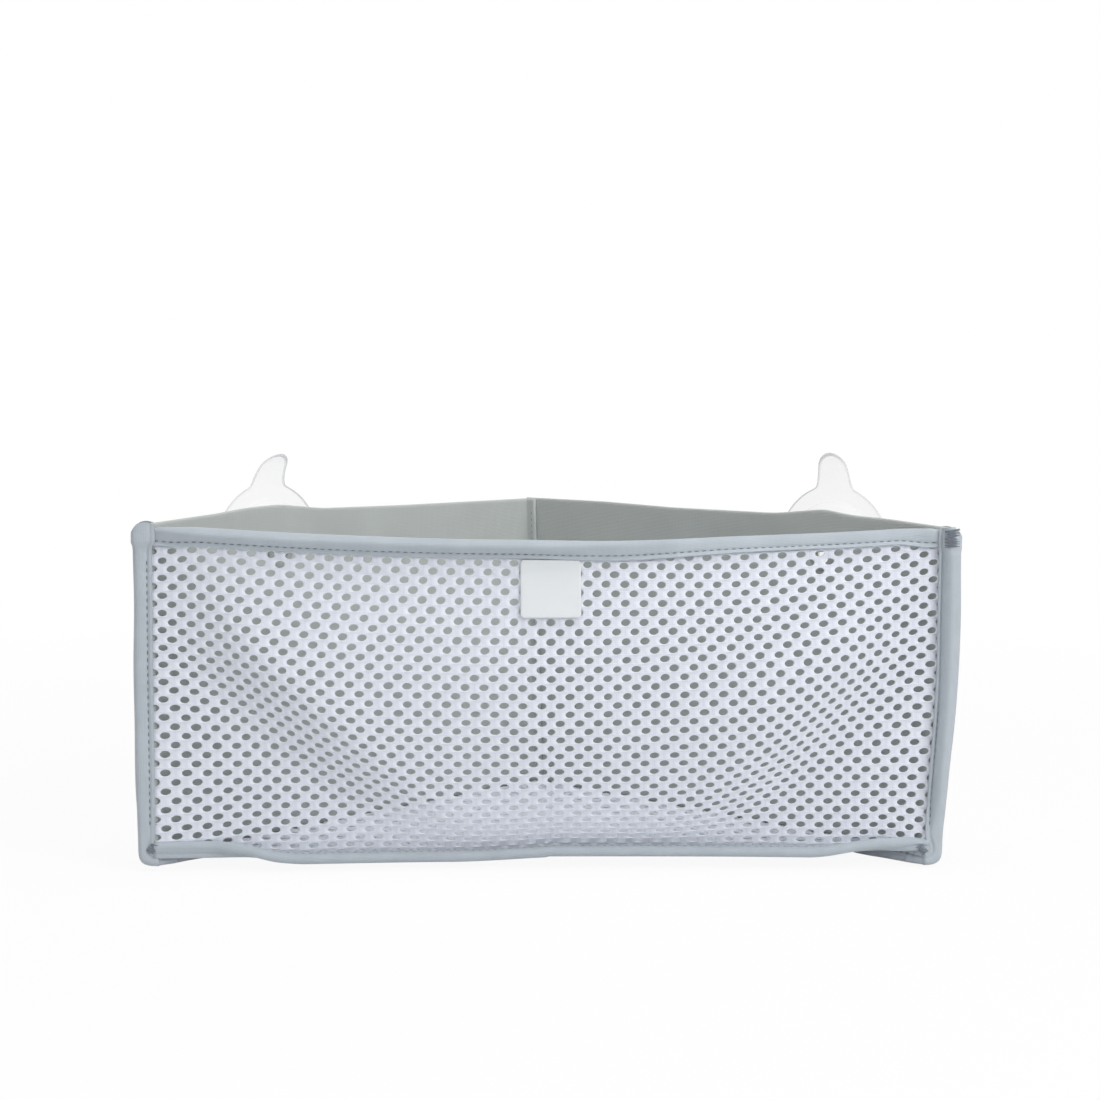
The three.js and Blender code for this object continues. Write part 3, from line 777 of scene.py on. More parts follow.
def tape_section(
    mouth, depth, low, high, pull, puff=0.4, flare=0.16, crease=STITCH_INSET, skew=1.2, back=1.0
):
    """Outline of tape folded round layers between low and high: a lip, a groove, and a roll by the fold."""
    bottom, top = low - TAPE_LAYERS, high + TAPE_LAYERS
    half = (top - bottom) / 2
    middle = (top + bottom) / 2
    fold = min(half, 1.9)
    core = depth - fold
    out = np.linspace(mouth, core, 24)
    share = np.clip((out - mouth - crease) / (depth - mouth - crease), 0, 1)
    crown = puff * np.sin(np.pi * share ** skew) ** (0.8 - 0.4 * smooth((crease - STITCH_INSET) / 1.5))
    lip = min(crease, 1.9)
    lift = flare * smooth((lip + mouth - out) / lip / 0.6) * smooth((out - mouth + 0.2) / 0.7)
    groove = (0.3 + pull) * np.exp(-(((out - mouth - crease) / 0.5) ** 2))
    rise = crown + lift - groove
    turn = np.linspace(-np.pi / 2, np.pi / 2, 9)[1:-1]
    round_half = half + rise[-1] * np.abs(np.sin(turn)) * np.where(turn < 0, 1, back)
    under = joined(out, bottom - rise)
    bend = joined(core + fold * np.cos(turn), middle + round_half * np.sin(turn))
    over = joined(out, top + rise * back)[::-1]
    t = TAPE_THICKNESS
    inside_over = joined(out, top - t + rise * 0.5 * back)[::3]
    inside_bend = joined(core + (fold - t) * np.cos(turn), middle + (half - t) * np.sin(turn))[::-2]
    inside_under = joined(out, bottom + t - rise * 0.5)[::-3]
    return np.concatenate([under, bend, over, inside_over, inside_bend, inside_under])


def tape(seam, origins, outs, ups, section, drop=None):
    """Folded tape carried along a seam, with a small pucker at every stitch. section() gives its outline by
    the distance along it, its whole length and the pucker. drop() lowers points near an end."""
    along = lengths(origins)
    rings = []
    for run, origin, out, up in zip(along, origins, outs, ups):
        pull = PUCKER * math.cos(2 * math.pi * run / STITCH_PITCH) + 0.04 * math.sin(run / 11.3)
        flat = section(run, along[-1], pull)
        ring = origin + flat[:, :1] * out + flat[:, 1:] * up
        if drop:
            ring[:, 2] -= drop(run, along[-1], flat[:, 0])
        rings.append(ring)
    made = swept(f"{seam}_tape", rings, tape_look, f"{seam}_binding")


def wander(run, amount, pace):
    return amount * (math.sin(run / pace) * 0.6 + math.sin(run / pace * 2.3 + 1.1) * 0.4)


def stitches(name, spots, alongs, outs, look, length=STITCH_LENGTH, width=STITCH_WIDTH):
    """Short rounded threads that lie on a seam."""
    rounds, turn = np.linspace(0, np.pi, 6)[1:-1], full_turn(8)
    local = []
    for r in rounds:
        radius = math.sin(r) ** 0.6 * width / 2
        local += [(-math.cos(r) * length / 2, radius * math.cos(t), radius * math.sin(t)) for t in turn]
    local = np.array(local)
    unit_faces = ring_faces(len(rounds), len(turn))
    dip = -0.5 * (local[:, :1] / length * 2) ** 2 * width
    points, faces, cloth = [], [], []
    for spot, along, out in zip(spots, alongs, outs):
        along = np.asarray(along, float) / np.linalg.norm(along)
        out = np.asarray(out, float) / np.linalg.norm(out)
        across = np.cross(out, along)
        start = len(points) * len(local)
        points.append(spot + local[:, :1] * along + local[:, 1:2] * across + (local[:, 2:] + dip) * out)
        faces.extend(tuple(start + v for v in face) for face in unit_faces)
        cloth.append(local[:, :2] + rng.uniform(0, 20, 2))
    piece(name, np.concatenate(points), faces, look, "bag", (), np.concatenate(cloth))


def row_of_stitches(name, line, out):
    """Stitches at the stitch pitch along a line of points, on the side that out points to."""
    run = lengths(line)
    stops = np.arange(STITCH_PITCH, run[-1] - STITCH_PITCH, STITCH_PITCH)
    tables = (line, np.broadcast_to(np.asarray(out, float), line.shape))
    spots, outs = (joined(*(np.interp(stops, run, column) for column in table.T)) for table in tables)
    stitches(name, spots, np.gradient(spots, axis=0), outs, shaded_thread_look)


def seam_rows(seam, line, ups, rows):
    """Rows of stitches on both faces of a tape, each with the height of its face over the seam."""
    for name, height in rows.items():
        facing = math.copysign(1, height)
        row_of_stitches(f"{seam}_{name}", line + ups * (height - facing * STITCH_SINK), ups * facing)


def bar_tack(name, centre, along, across, out, count, spread, length, look):
    """A block of close threads across a tape's end."""
    along, across, out = (np.array(way, float) for way in (along, across, out))
    shares = np.linspace(-0.5, 0.5, count)
    spots = [centre + across * s * spread + out * rng.uniform(-0.05, 0.12) for s in shares]
    alongs = [along + across * rng.normal(0, 0.16) for _ in shares]
    stitches(name, spots, alongs, [out] * count, look, length, TACK_WIDTH)


def steps_over(start, end, step=STITCH_PITCH / 2):
    return np.linspace(start, end, max(2, int(round(abs(end - start) / step)) + 1))


def slanted(outward, slant):
    """Ways out along a tape and up through it, for a tape that points outward and down at a slant."""
    upright = np.array((0, 0, 1.0))
    cosine, sine = np.cos(slant)[:, None], np.sin(slant)[:, None]
    return outward * cosine - upright * sine, outward * sine + upright * cosine


def front_top_tape():
    x = steps_over(-HALF - 1.6, HALF + 1.6)
    lean, rise = top_hang(x)
    origins = joined(x, 0, top_edge(x) - TAPE_DEPTH + rise)
    outs = joined(0, np.sin(lean), np.cos(lean))
    ups = joined(0, np.cos(lean), -np.sin(lean))

    def section(run, whole, pull):
        edge = 0.12 * math.cos(2 * math.pi * run / STITCH_PITCH) + wander(run, 0.25, 21)
        end = smooth((abs(run - whole / 2) - HALF + 6) / 6)
        puff, flare, skew = (across_top(run - whole / 2, pair) for pair in (TOP_PUFF, TOP_FLARE, TOP_SKEW))
        reach = TAPE_DEPTH - 1.2 * end + wander(run, 0.2, 33)
        return tape_section(edge, reach, -NET_THICKNESS, 0, pull, puff * (1 - 0.8 * end), flare, skew=skew)

    tape("front_top", origins, outs, ups, section)
    heights = {"stitches": -NET_THICKNESS - TAPE_LAYERS, "stitches_inside": TAPE_LAYERS}
    seam_rows("front_top", origins + outs * STITCH_INSET, ups, heights)


def front_base_tape():
    """Tape along the foot of the front: points forward, and rolls up towards the corners."""
    x = steps_over(-HALF - 0.8, HALF + 1.2)
    roll, lift = base_turn(x)
    origins = joined(x, base_seam(x), lift)
    outs, ups = slanted(np.array((0, -1.0, 0)), -roll)
    mouth = NET_THICKNESS + 2 * GAP
    top = GAP + NET_THICKNESS

    def section(run, whole, pull):
        share = smooth((abs(run - whole / 2) - ROLL_START) / 40)
        reach = TAPE_DEPTH - 1.5 * share - 2.2 * smooth((run - whole + 22) / 20) + wander(run, 0.2, 27)
        return tape_section(mouth - 1.4 * share, reach, -NET_THICKNESS, top, pull, 0.25)

    tape("front_base", origins, outs, ups, section)
    heights = {"stitches": top + TAPE_LAYERS, "stitches_under": -NET_THICKNESS - TAPE_LAYERS}
    seam_rows("front_base", origins + outs * (mouth + STITCH_INSET), ups, heights)


def wall_point(side, along, inward, up):
    """A point by a back wall: along it from the corner seam, in from its inner face, and up."""
    return joined(-side * (inward - along) * SLANT, HALF - (along + inward) * SLANT, up)


def side_tape(name, side):
    """Upright tape that turns round the lower corner, with slack in its fold and its top end turned over."""
    head, round_off, seat = (own(side, pair) for pair in (SIDE_HEAD, SIDE_ROUND, CORNER_SEAT))
    run = np.linspace(WALL_LENGTH - CORNER_RUN, WALL_LENGTH - 2.4, 7)
    swing = np.linspace(np.pi / 2, 0, 10)
    high = head - round_off * (1 - np.cos(np.linspace(np.pi / 2, 0, 9)))
    levels = np.concatenate([steps_over(seat + 1, high[0])[1:-1], high])
    low, fan, tall = len(run), len(swing), len(levels)

    corner = joined(side * (HALF - 1 + np.cos(swing)), 0, seat + 1 - np.sin(swing))
    upright = joined(side * HALF, 0, levels)
    origins = np.concatenate([wall_point(side, run, 0, seat), corner, upright])
    facing = np.linspace(np.pi / 4, 0, low)
    outward = joined(side * np.sin(facing), np.cos(facing), 0)
    run_outs, run_ups = slanted(outward, np.radians(np.linspace(45 + BASE_TURN, 90, low)))
    fan_outs = joined(side * np.cos(swing), 0, -np.sin(swing))
    outs = np.concatenate([run_outs, fan_outs, np.tile((float(side), 0, 0), (tall, 1))])
    ups = np.concatenate([run_ups, np.tile((0, 1.0, 0), (fan + tall, 1))])
    cut = round_off * (1 - np.sqrt(np.clip(1 - np.clip((levels - high[0]) / round_off, 0, 1) ** 2, 0, 1)))
    slim = 1 - 0.08 * (1 - smooth((levels - seat) / 30))
    across, down = np.cos(swing) / slim[0] / TAPE_DEPTH, np.sin(swing) / CORNER_DEPTH
    square = (across ** CORNER_SQUARE + down ** CORNER_SQUARE) ** (-1 / CORNER_SQUARE)
    depths = np.concatenate([np.full(low, CORNER_DEPTH), square, TAPE_DEPTH * slim - cut])
    along = lengths(origins)
    sizes = (SIDE_PUFF, SIDE_BACK, SIDE_FLARE, SIDE_CREASE, SIDE_SKEW, SIDE_MOUTH, SIDE_MOUTH_LOW, SIDE_STEP)
    puff, back, flare, crease, skew, mouth, mouth_low, step = (own(side, pair) for pair in sizes)
    starts = mouth_low + (mouth - mouth_low) * smooth((origins[:, 2] - 20) / 90)

    def section(run, whole, pull):
        slack = wander(run + 40 * side, 0.35, 19) * smooth((run - 20) / 12) * smooth((whole - run) / 8)
        collar = smooth((run - whole + 11.5) / 1.5)
        bulge = collar * own(side, SIDE_COLLAR)
        layers = (-NET_THICKNESS - bulge, GAP + WALL_THICKNESS + bulge)
        start = SEAM_MOUTH + (np.interp(run, along, starts) - SEAM_MOUTH) * smooth((run - CORNER_RUN) / 8)
        reach = np.interp(run, along, depths) + slack + 0.5 * bulge * smooth((whole - run) / 3)
        grown = smooth((run - CORNER_RUN - 6) / 24)
        turned = STITCH_INSET + (crease - STITCH_INSET) * grown
        roll = (0.6 + (puff - 0.6) * grown) * (1 - 0.6 * collar)
        lip = flare * grown * (1 - 0.7 * collar)
        return tape_section(start - step * collar, reach, *layers, pull, roll, lip, turned, skew, back)

    def drop(run, whole, out):
        return own(side, SIDE_DROP) * smooth((run - whole + 9) / 9) * ((out - 3.2) / 6) ** 2

    tape(f"{name}_side", origins, outs, ups, section, drop)
    stitched = slice(low + fan + 4, -14)
    line = origins[stitched] + outs[stitched] * (starts[stitched, None] + crease)
    heights = {"stitches": -NET_THICKNESS - TAPE_LAYERS, "stitches_back": GAP + WALL_THICKNESS + TAPE_LAYERS}
    seam_rows(f"{name}_side", line, ups[stitched], heights)


def corner_share(along):
    """How far a place along a wall's foot has come towards the front corner, where the base tape hangs."""
    return smooth((np.asarray(along) - WALL_LENGTH + TURN_START) / TURN_RUN)


def base_slant(side, along):
    """Slant of a base tape and rise of its seam: it turns under near the front corner."""
    near = corner_share(along)
    return np.radians(45 + BASE_TURN * near), own(side, CORNER_SEAT) * near


def base_tape(name, side):
    """Tape under a back wall, out and down at a slant; the bag stands on it. Its front end hangs."""
    along = steps_over(1.4, WALL_LENGTH - 5.5)
    slant, seat = base_slant(side, along)
    origins = wall_point(side, along, 0, seat)
    outward, onward = np.array((side * SLANT, SLANT, 0)), np.array((side * SLANT, -SLANT, 0))
    mitre = BASE_MITRE * smooth((14 - along) / 12)[:, None]
    outs, ups = slanted(outward - mitre * onward, slant)

    def section(run, whole, pull):
        cut = 3.2 * (1 - math.sqrt(max(0.0, 1 - max(0.0, 1 - run / 3.2) ** 2)))
        cut += (TAPE_DEPTH - CORNER_DEPTH) * smooth((run - whole + TURN_START) / TURN_RUN)
        thin = 0.5 * smooth((run - whole + 5) / 4)
        layers = (WALL_SEAM_LOW + thin, WALL_SEAM_HIGH - thin)
        return tape_section(SEAM_MOUTH, TAPE_DEPTH - cut - thin, *layers, pull)

    tape(f"{name}_base", origins, outs, ups, section)
    heights = {"stitches": WALL_SEAM_HIGH + TAPE_LAYERS, "stitches_under": WALL_SEAM_LOW - TAPE_LAYERS}
    seam_rows(f"{name}_base", origins + outs * (SEAM_MOUTH + STITCH_INSET), ups, heights)


# Walls

def wall_top(side, along):
    """Height of a wall's plain top edge, a smooth curve by its stops."""
    x, y = np.array(own(side, WALL_STOPS)).T
    fine = np.linspace(x[0], x[-1], 400)
    curve = np.interp(fine, x, y)
    kernel = np.hanning(31)
    curve = np.convolve(np.pad(curve, 15, mode="edge"), kernel / kernel.sum(), mode="valid")
    return BAG_HEIGHT + np.interp(along, fine, curve)


def wall_plan(lapped):
    """Middle line of a wall from above, as along and inward: a lap at the corner, and a turned front edge."""
    middle = -WALL_THICKNESS / 2
    start, corner = [], [(-WALL_THICKNESS, middle), (0, middle), (2, middle)]
    if lapped:
        bend = 1.6
        inset = GAP + WALL_THICKNESS / 2
        turn = np.linspace(0, np.pi / 2, 8)
        start = [(inset, y) for y in (LAP_WIDTH, 3.6, 2.2, 1.2)]
        corner = [(inset + bend * (1 - math.cos(t)), middle + bend * (1 - math.sin(t))) for t in turn]
    straight = [(a, middle) for a in np.linspace(4, WALL_LENGTH - 4, 150)]
    radius = 4.6
    pivot = np.array((WALL_LENGTH - 2.6, middle - radius))
    front = [pivot + radius * np.array((math.sin(t), math.cos(t))) for t in np.linspace(0, np.pi / 4, 7)]
    front += [front[-1] + step * np.array((SLANT, -SLANT)) for step in (1.5, 3.0, TAPE_REACH - 2.6)]
    return np.array(start + corner + straight + front)


def wall(name, side, lapped):
    """Padded wall. Each ring goes up its face, over the top and down its back, its foot in the base tape."""
    plan = wall_plan(lapped)
    step = np.gradient(plan, axis=0)
    step /= np.linalg.norm(step, axis=1, keepdims=True)
    inward = joined(-step[:, 1], step[:, 0])
    half = WALL_THICKNESS / 2
    heights = np.concatenate([np.linspace(2, 132, 34), np.linspace(134, BAG_HEIGHT - 1.5, 8)])
    turn = np.linspace(0, np.pi, 9)[1:-1]
    rings = []
    for (a, n), normal in zip(plan, inward):
        top = wall_top(side, a)
        slant, seat = base_slant(side, a)
        up = heights + (top - BAG_HEIGHT) * smooth((heights - 60) / 85)
        up += seat * np.clip(1 - heights / 40, 0, 1)
        hold = smooth((a - 12) / 40) * smooth((WALL_LENGTH - 12 - a) / 40)
        bow = hold * (1.1 * math.sin(a / 31 + 0.6 * side) + 0.5 * math.sin(a / 13))
        bow *= smooth(abs(a - own(side, CUP_ALONG)) / 26 - 0.35)
        wave = bow * np.sin(np.pi * np.clip(up / WAVE_HEIGHT, 0, 1))
        crest = bow * math.sin(math.pi * min(top / WAVE_HEIGHT, 1)) - half
        shorter = (TAPE_DEPTH - CORNER_DEPTH + 0.8) * corner_share(a)
        foot = (TAPE_REACH - shorter) * (smooth((WALL_LENGTH - 4 - a) / 9) * smooth((a - 1) / 5))
        tuck = np.array((-math.cos(slant), -math.sin(slant)))
        rise = np.array((-math.sin(slant), math.cos(slant)))
        outline = [tuck * foot + rise * 0.14 + (0, seat), (0.0, seat + 0.4)]
        outline += zip(wave, up)
        outline += [(crest + half * math.cos(t), top - half + half * math.sin(t)) for t in turn]
        outline += zip(wave[::-1] - WALL_THICKNESS, up[::-1])
        outline += [(-WALL_THICKNESS, seat + 1.2), tuck * (foot + 0.64) + rise * 1.91 + (0, seat)]
        depth, z = np.array(outline).T
        spot = np.array((a, n)) + normal * (half + depth)[:, None]
        rings.append(wall_point(side, spot[:, 0], spot[:, 1], z))
    made = swept(f"{name}_wall", rings, wall_look, f"{name}_back_panel")
    cut_hole(made, side)


def cup_frame(side):
    """Turns a cup's own frame, along the wall, into the bag and up, into the bag's frame."""
    seat = wall_point(side, own(side, CUP_ALONG), 0, CUP_HEIGHT)
    along = np.array((side * SLANT, -SLANT, 0))
    inward = np.array((-side * SLANT, -SLANT, 0))
    return lambda p: seat + p[:, :1] * along + p[:, 1:2] * inward + p[:, 2:] * np.array((0, 0, 1))


def cut_hole(made, side):
    """Cuts the eyelet's hole through a wall."""
    turn = full_turn(32)
    radius = BARREL_RADIUS + 0.15
    x, z = radius * np.cos(turn), radius * np.sin(turn)
    rings = [joined(x, y, z) for y in (-9.0, 9.0)]
    mesh = bpy.data.meshes.new("eyelet_hole")
    mesh.from_pydata(place(cup_frame(side)(np.concatenate(rings))).tolist(), [], ring_faces(2, len(turn)))
    edit(mesh)
    cutter = new_object("eyelet_hole", mesh)
    change = made.modifiers.new("hole", "BOOLEAN")
    change.operation = "DIFFERENCE"
    change.solver = "EXACT"
    change.object = cutter
    bpy.context.view_layer.update()
    done = bpy.data.meshes.new_from_object(made.evaluated_get(bpy.context.evaluated_depsgraph_get()))
    made.modifiers.clear()
    made.data = done
    bpy.data.objects.remove(cutter)


def lap_stitches():
    """The row that sews the left wall's turned end to the right wall."""
    spots = wall_point(-1, GAP + WALL_THICKNESS - STITCH_SINK, 3.1, steps_over(4, BAG_HEIGHT - 3))
    row_of_stitches("corner_stitches", spots, (-SLANT, -SLANT, 0))


# Cups and eyelets

def lathe(profile, angles, reach=None):
    """Rings of a body turned about the cup's axis. reach() may move each point by its angle."""
    rings = []
    for turn in angles:
        r, y = np.array(profile, float).T
        if reach:
            r, y = reach(turn, r, y)
        rings.append(joined(r * np.sin(turn), y, r * np.cos(turn)))
    return np.array(rings)


def lathe_faces(count, size, loop):
    """Quads round the axis. A profile that isn't a loop starts and ends on the axis, where it is pinched."""
    faces = []
    for i in range(count):
        n = (i + 1) % count
        for j in range(size if loop else size - 1):
            k = (j + 1) % size
            faces.append((i * size + j, n * size + j, n * size + k, i * size + k))
    return faces


def weld(work):
    bmesh.ops.remove_doubles(work, verts=work.verts[:], dist=1e-6)
    bmesh.ops.dissolve_degenerate(work, edges=work.edges[:], dist=1e-7)


def turned_piece(name, rings, side, look, body, node, loop, rim=None):
    """A turned body on a wall. rim gives the steps of its profile that take the rim's painted refraction
    grey.
    """
    count, size = rings.shape[:2]
    points = cup_frame(side)(rings.reshape(-1, 3))
    made = piece(name, points, lathe_faces(count, size, loop), look, body, [node])
    if rim:
        made.data.materials.append(VINYL_RIM_SHADE)
        step = np.arange(len(made.data.polygons)) % (size - 1)
        edge = (step >= rim[0]) & (step < rim[1])
        made.data.polygons.foreach_set("material_index", edge.astype(np.int32))
    edit(made.data, weld)


def rounded(profile, radius, loop, steps=4):
    """Profile with its inner corners rounded off."""
    points = [np.array(p, float) for p in profile]
    out = []
    count = len(points)
    for i, p in enumerate(points):
        if not loop and i in (0, count - 1):
            out.append(p)
            continue
        before, after = points[i - 1] - p, points[(i + 1) % count] - p
        room = min(radius, 0.45 * np.linalg.norm(before), 0.45 * np.linalg.norm(after))
        start, end = (p + way / np.linalg.norm(way) * room for way in (before, after))
        for t in np.linspace(0, 1, steps):
            out.append((1 - t) ** 2 * start + 2 * t * (1 - t) * p + t ** 2 * end)
    return out


def tab_outline(turn):
    """Radius of the cup's outline at an angle from the pull tab's middle."""
    turn = abs((turn + np.pi) % (2 * np.pi) - np.pi)
    if turn > 1.0:
        return CUP_RADIUS
    shoulder = TAB_TIP - TAB_TIP_RADIUS
    taper = (TAB_ROOT_HALF - TAB_TIP_RADIUS) / (shoulder - TAB_ROOT)
    side = (TAB_ROOT_HALF + taper * TAB_ROOT) / (math.sin(turn) + taper * math.cos(turn))
    inside = TAB_TIP_RADIUS ** 2 - (shoulder * math.sin(turn)) ** 2
    tip = shoulder * math.cos(turn) + math.sqrt(inside) if inside > 0 else 0.0
    reach = min(side, tip) if math.atan2(TAB_TIP_RADIUS, shoulder) > turn else side
    return (CUP_RADIUS ** TAB_BLEND + reach ** TAB_BLEND) ** (1 / TAB_BLEND)


def sway(side, rings):
    """Soft pull tabs hang a little to one side, and longer or shorter."""
    bent = np.clip((rings[:, :, 2:] - TAB_ROOT) / (TAB_TIP - TAB_ROOT), 0, 1) ** 2
    return rings + bent * np.array(own(side, TAB_SWAY))


def cup_profile():
    """Half section of a cup from its knob to the middle of its hollow, and the steps that make its rim."""
    hub = WASHER_FACE - GAP
    knob = FLANGE_FACE + GAP
    dome_foot = LIP_PLANE + LIP_THICKNESS + 2 * DOME_STEP
    profile = [(0, knob + KNOB_HEIGHT), (KNOB_RADIUS - 0.4, knob + KNOB_HEIGHT), (KNOB_RADIUS, knob + 1.2)]
    profile += [(KNOB_RADIUS, knob), (NECK_RADIUS, knob), (NECK_RADIUS, hub)]
    profile = rounded(profile, 0.9, False)
    for turn in np.linspace(np.pi / 2, 0, 14):
        radius = HUB_RADIUS + (DOME_RADIUS - DOME_STEP - HUB_RADIUS) * math.cos(turn)
        profile.append((radius, dome_foot + (hub - dome_foot) * math.sin(turn)))
    top = LIP_PLANE + LIP_THICKNESS
    edge = CUP_RADIUS - RIM_ROUND
    profile += [(DOME_RADIUS - 0.3, top + 0.75), (DOME_RADIUS, top + 0.45)]
    for share in np.linspace(0.08, 1, 9):
        profile.append((DOME_RADIUS + (edge - DOME_RADIUS) * share, top + 0.4 * (1 - share)))
    rim_start = len(profile) - 1
    for turn in np.linspace(np.pi / 2, -np.pi / 2, 7)[1:-1]:
        level = LIP_PLANE + RIM_THICKNESS / 2 * (1 + math.sin(turn))
        profile.append((edge + RIM_ROUND * math.cos(turn), level))
    rim_end = len(profile)
    for share in np.linspace(1, 0, 8):
        profile.append((DOME_RADIUS + (edge - DOME_RADIUS) * share, LIP_PLANE))
    dish = CUP_RADIUS - CUP_LIP
    for share in np.linspace(DOME_RADIUS / dish, 0, 12)[1:]:
        profile.append((dish * share, LIP_PLANE + CUP_HOLLOW * (1 - share ** 2) ** 1.5))
    return np.array(profile), (rim_start, rim_end)


def suction_cup(name, side):
    def reach(turn, r, y):
        outer = tab_outline(turn)
        beyond = np.clip((r - DOME_RADIUS) / (CUP_RADIUS - DOME_RADIUS), 0, 1)
        far = np.where(beyond > 0, DOME_RADIUS + (outer - DOME_RADIUS) * beyond, r)
        bent = np.clip((far * math.cos(turn) - TAB_ROOT) / (TAB_TIP - TAB_ROOT), 0, 1)
        return far, y + TAB_BEND * bent ** 2 * (outer > CUP_RADIUS + 0.05)

    profile, rim = cup_profile()
    even = np.linspace(0, 2 * np.pi, 120, endpoint=False)
    close = np.radians(np.arange(8, 26, 0.75))
    angles = np.unique(np.round(np.concatenate([even, close, 2 * np.pi - close]), 5))
    rings = sway(side, lathe(profile, angles, reach))
    body, node = f"{name}_cup", f"{name}_suction_cup"
    turned_piece(f"{name}_cup_moulding", rings, side, vinyl_look, body, node, False, rim)


def eyelets(name, side):
    barrel = [(BARREL_BORE, WASHER_FACE), (BARREL_RADIUS, WASHER_FACE), (BARREL_RADIUS, GAP)]
    barrel += [(FLANGE_RADIUS, GAP), (FLANGE_RADIUS, GAP + 0.35), (FLANGE_RADIUS - 0.9, FLANGE_FACE)]
    barrel.append((BARREL_BORE, FLANGE_FACE))
    inner = BARREL_RADIUS + GAP
    back = -WALL_THICKNESS - GAP
    washer = [(inner, WASHER_FACE), (FLANGE_RADIUS - 0.7, WASHER_FACE), (FLANGE_RADIUS, WASHER_FACE + 0.45)]
    washer += [(FLANGE_RADIUS, back), (inner, back)]
    for kind, profile in (("eyelet", barrel), ("eyelet_washer", washer)):
        rings = lathe(rounded(profile, 0.2, True), full_turn(64))
        turned_piece(f"{name}_{kind}_ring", rings, side, eyelet_look, "bag", f"{name}_{kind}", True)


# Label

def label():
    """Blank satin patch that hangs from under the top tape."""
    top = top_edge(0) - TAPE_DEPTH + LABEL_TUCK
    low = top - LABEL_HEIGHT - LABEL_TUCK
    half = LABEL_WIDTH / 2
    outline = []
    for x, z, start in ((half, low, -90), (half, top, 0), (-half, top, 90), (-half, low, 180)):
        inner = (math.copysign(half - LABEL_ROUND, x), z + (LABEL_ROUND if z == low else -LABEL_ROUND))
        for turn in np.radians(np.linspace(start, start + 90, 6)):
            outline.append((inner[0] + LABEL_ROUND * math.cos(turn), inner[1] + LABEL_ROUND * math.sin(turn)))
    outline = np.array(outline)
    centre = np.array((0.0, (top + low) / 2))
    levels = [(1.0, -0.5), (1.0, -0.15), (0.995, 0.35)]
    levels += [(scale, 0.5) for scale in (0.97, 0.9, 0.75, 0.5, 0.25, 0.04)]
    rings = []
    for scale, out in levels:
        x, z = (centre + (outline - centre) * scale).T
        curl = 0.35 * np.sin(x / 7.0) + 0.25 * np.sin(z / 6.0)
        front = front_place(x, z * FRONT_TOP / top_edge(x)) + LABEL_BACK
        rings.append(joined(x, front - LABEL_THICKNESS * (0.5 + out) - 0.5 * np.abs(curl), z))
    cloth = np.concatenate([ring[:, [0, 2]] for ring in rings])
    made = swept("front_label_patch", rings, label_look, "front_label", cloth)


# Build

front_net()
base_net()
for side, name in ((-1, "left"), (1, "right")):
    wall(name, side, side < 0)
    side_tape(name, side)
    base_tape(name, side)
    suction_cup(name, side)
    eyelets(name, side)
    foot = np.array((side * HALF - 0.5 * side - 2.0, -NET_THICKNESS - TAPE_LAYERS - 0.9, 2.6 - 1.0 * side))
    ways = ((0.8, 0, side * 0.6), (side * 0.6, 0, -0.8), (0, -1, 0))
    bar_tack(f"{name}_lower_tack", foot, *ways, count=6, spread=4.0, length=4.5, look=shaded_thread_look)
front_top_tape()
front_base_tape()
lap_stitches()
label()
head = np.array((HALF + 3.3, -NET_THICKNESS - TAPE_LAYERS - 3.1, BAG_HEIGHT - 4.0))
ways = ((1, 0.3, 0), (0, 0, 1), (0.3, -1, 0))
bar_tack("right_upper_tack", head, *ways, count=15, spread=7.6, length=9.4, look=tack_look)


# Camera, light and floor

def camera():
    yaw, pitch, roll = (math.radians(a) for a in (CAMERA_YAW, CAMERA_PITCH, CAMERA_ROLL))
    forward = Vector((math.sin(yaw) * math.cos(pitch), math.cos(yaw) * math.cos(pitch), -math.sin(pitch)))
    right = Vector((math.cos(yaw), -math.sin(yaw), 0))
    up = right.cross(forward)
    right, up = right * math.cos(roll) + up * math.sin(roll), up * math.cos(roll) - right * math.sin(roll)
    data = bpy.data.cameras.new("camera")
    data.sensor_width = 36
    data.lens = CAMERA_LENS
    data.clip_start = 0.01
    made = new_object("camera", data)
    made.matrix_world = Matrix((right, up, -forward)).transposed().to_4x4()
    made.location = place(CAMERA_PLACE)
    bpy.context.scene.camera = made


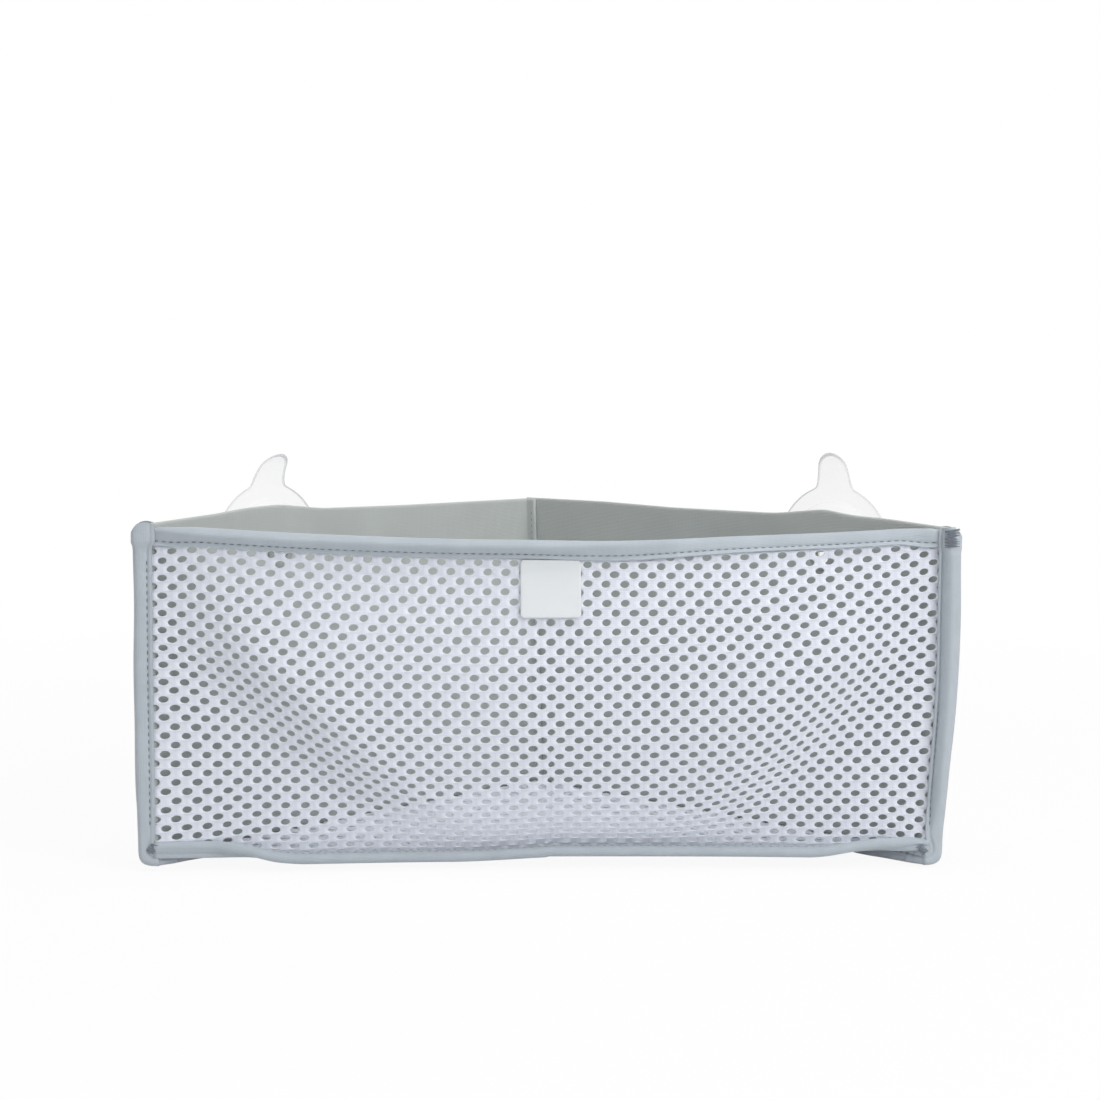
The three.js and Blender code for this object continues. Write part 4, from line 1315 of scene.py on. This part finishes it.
def area_light(name, spot, watts, size):
    data = bpy.data.lights.new(name, "AREA")
    data.energy = watts
    data.size = size
    made = new_object(name, data)
    made.location = spot
    made.rotation_euler = (Vector(LAMP_AIM) - Vector(spot)).to_track_quat("-Z", "Y").to_euler()


def seen_rays(nodes):
    """1 for rays that show the backdrop: straight from the camera, mirrored, or through clear vinyl."""
    path = nodes.add("ShaderNodeLightPath").outputs
    shown = nodes.math("MAXIMUM", path["Is Camera Ray"], path["Is Glossy Ray"])
    return nodes.math("MAXIMUM", shown, path["Is Transmission Ray"])


def surroundings():
    world = bpy.data.worlds.new("studio")
    bpy.context.scene.world = world
    nodes = Nodes(world)
    soft = nodes.add("ShaderNodeBackground", {"Color": WHITE, "Strength": AMBIENT})
    white = nodes.add("ShaderNodeBackground", {"Color": WHITE, "Strength": 1.0})
    nodes.surface(nodes.blend(seen_rays(nodes), soft, white), "ShaderNodeOutputWorld")

    mesh = bpy.data.meshes.new("floor")
    square = ((-1, -1), (1, -1), (1, 1), (-1, 1))
    corners = [(x * FLOOR_REACH, y * FLOOR_REACH, FLOOR_LEVEL) for x, y in square]
    mesh.from_pydata(corners, [], [(0, 1, 2, 3)])
    floor = new_object("floor", mesh)
    paint, nodes, spot = new_material("floor_white")
    matte = nodes.add("ShaderNodeBsdfDiffuse", {"Color": (FLOOR_GREY, FLOOR_GREY, FLOOR_GREY, 1)})
    glow = nodes.add("ShaderNodeEmission", {"Color": WHITE, "Strength": 1.0})
    away = nodes.add("ShaderNodeVectorMath", {0: spot}, operation="LENGTH").outputs["Value"]
    reach = {"Value": away, "From Min": FLOOR_FADE[0], "From Max": FLOOR_FADE[1], "To Min": FLOOR_WHITE}
    fade = nodes.add("ShaderNodeMapRange", reach)
    share = nodes.math("MULTIPLY", seen_rays(nodes), fade.outputs[0])
    nodes.surface(nodes.blend(share, matte, glow))
    mesh.materials.append(paint)

    for name, lamp in LAMPS.items():
        area_light(name, *lamp)


camera()
surroundings()
bpy.context.scene.view_settings.view_transform = "Standard"
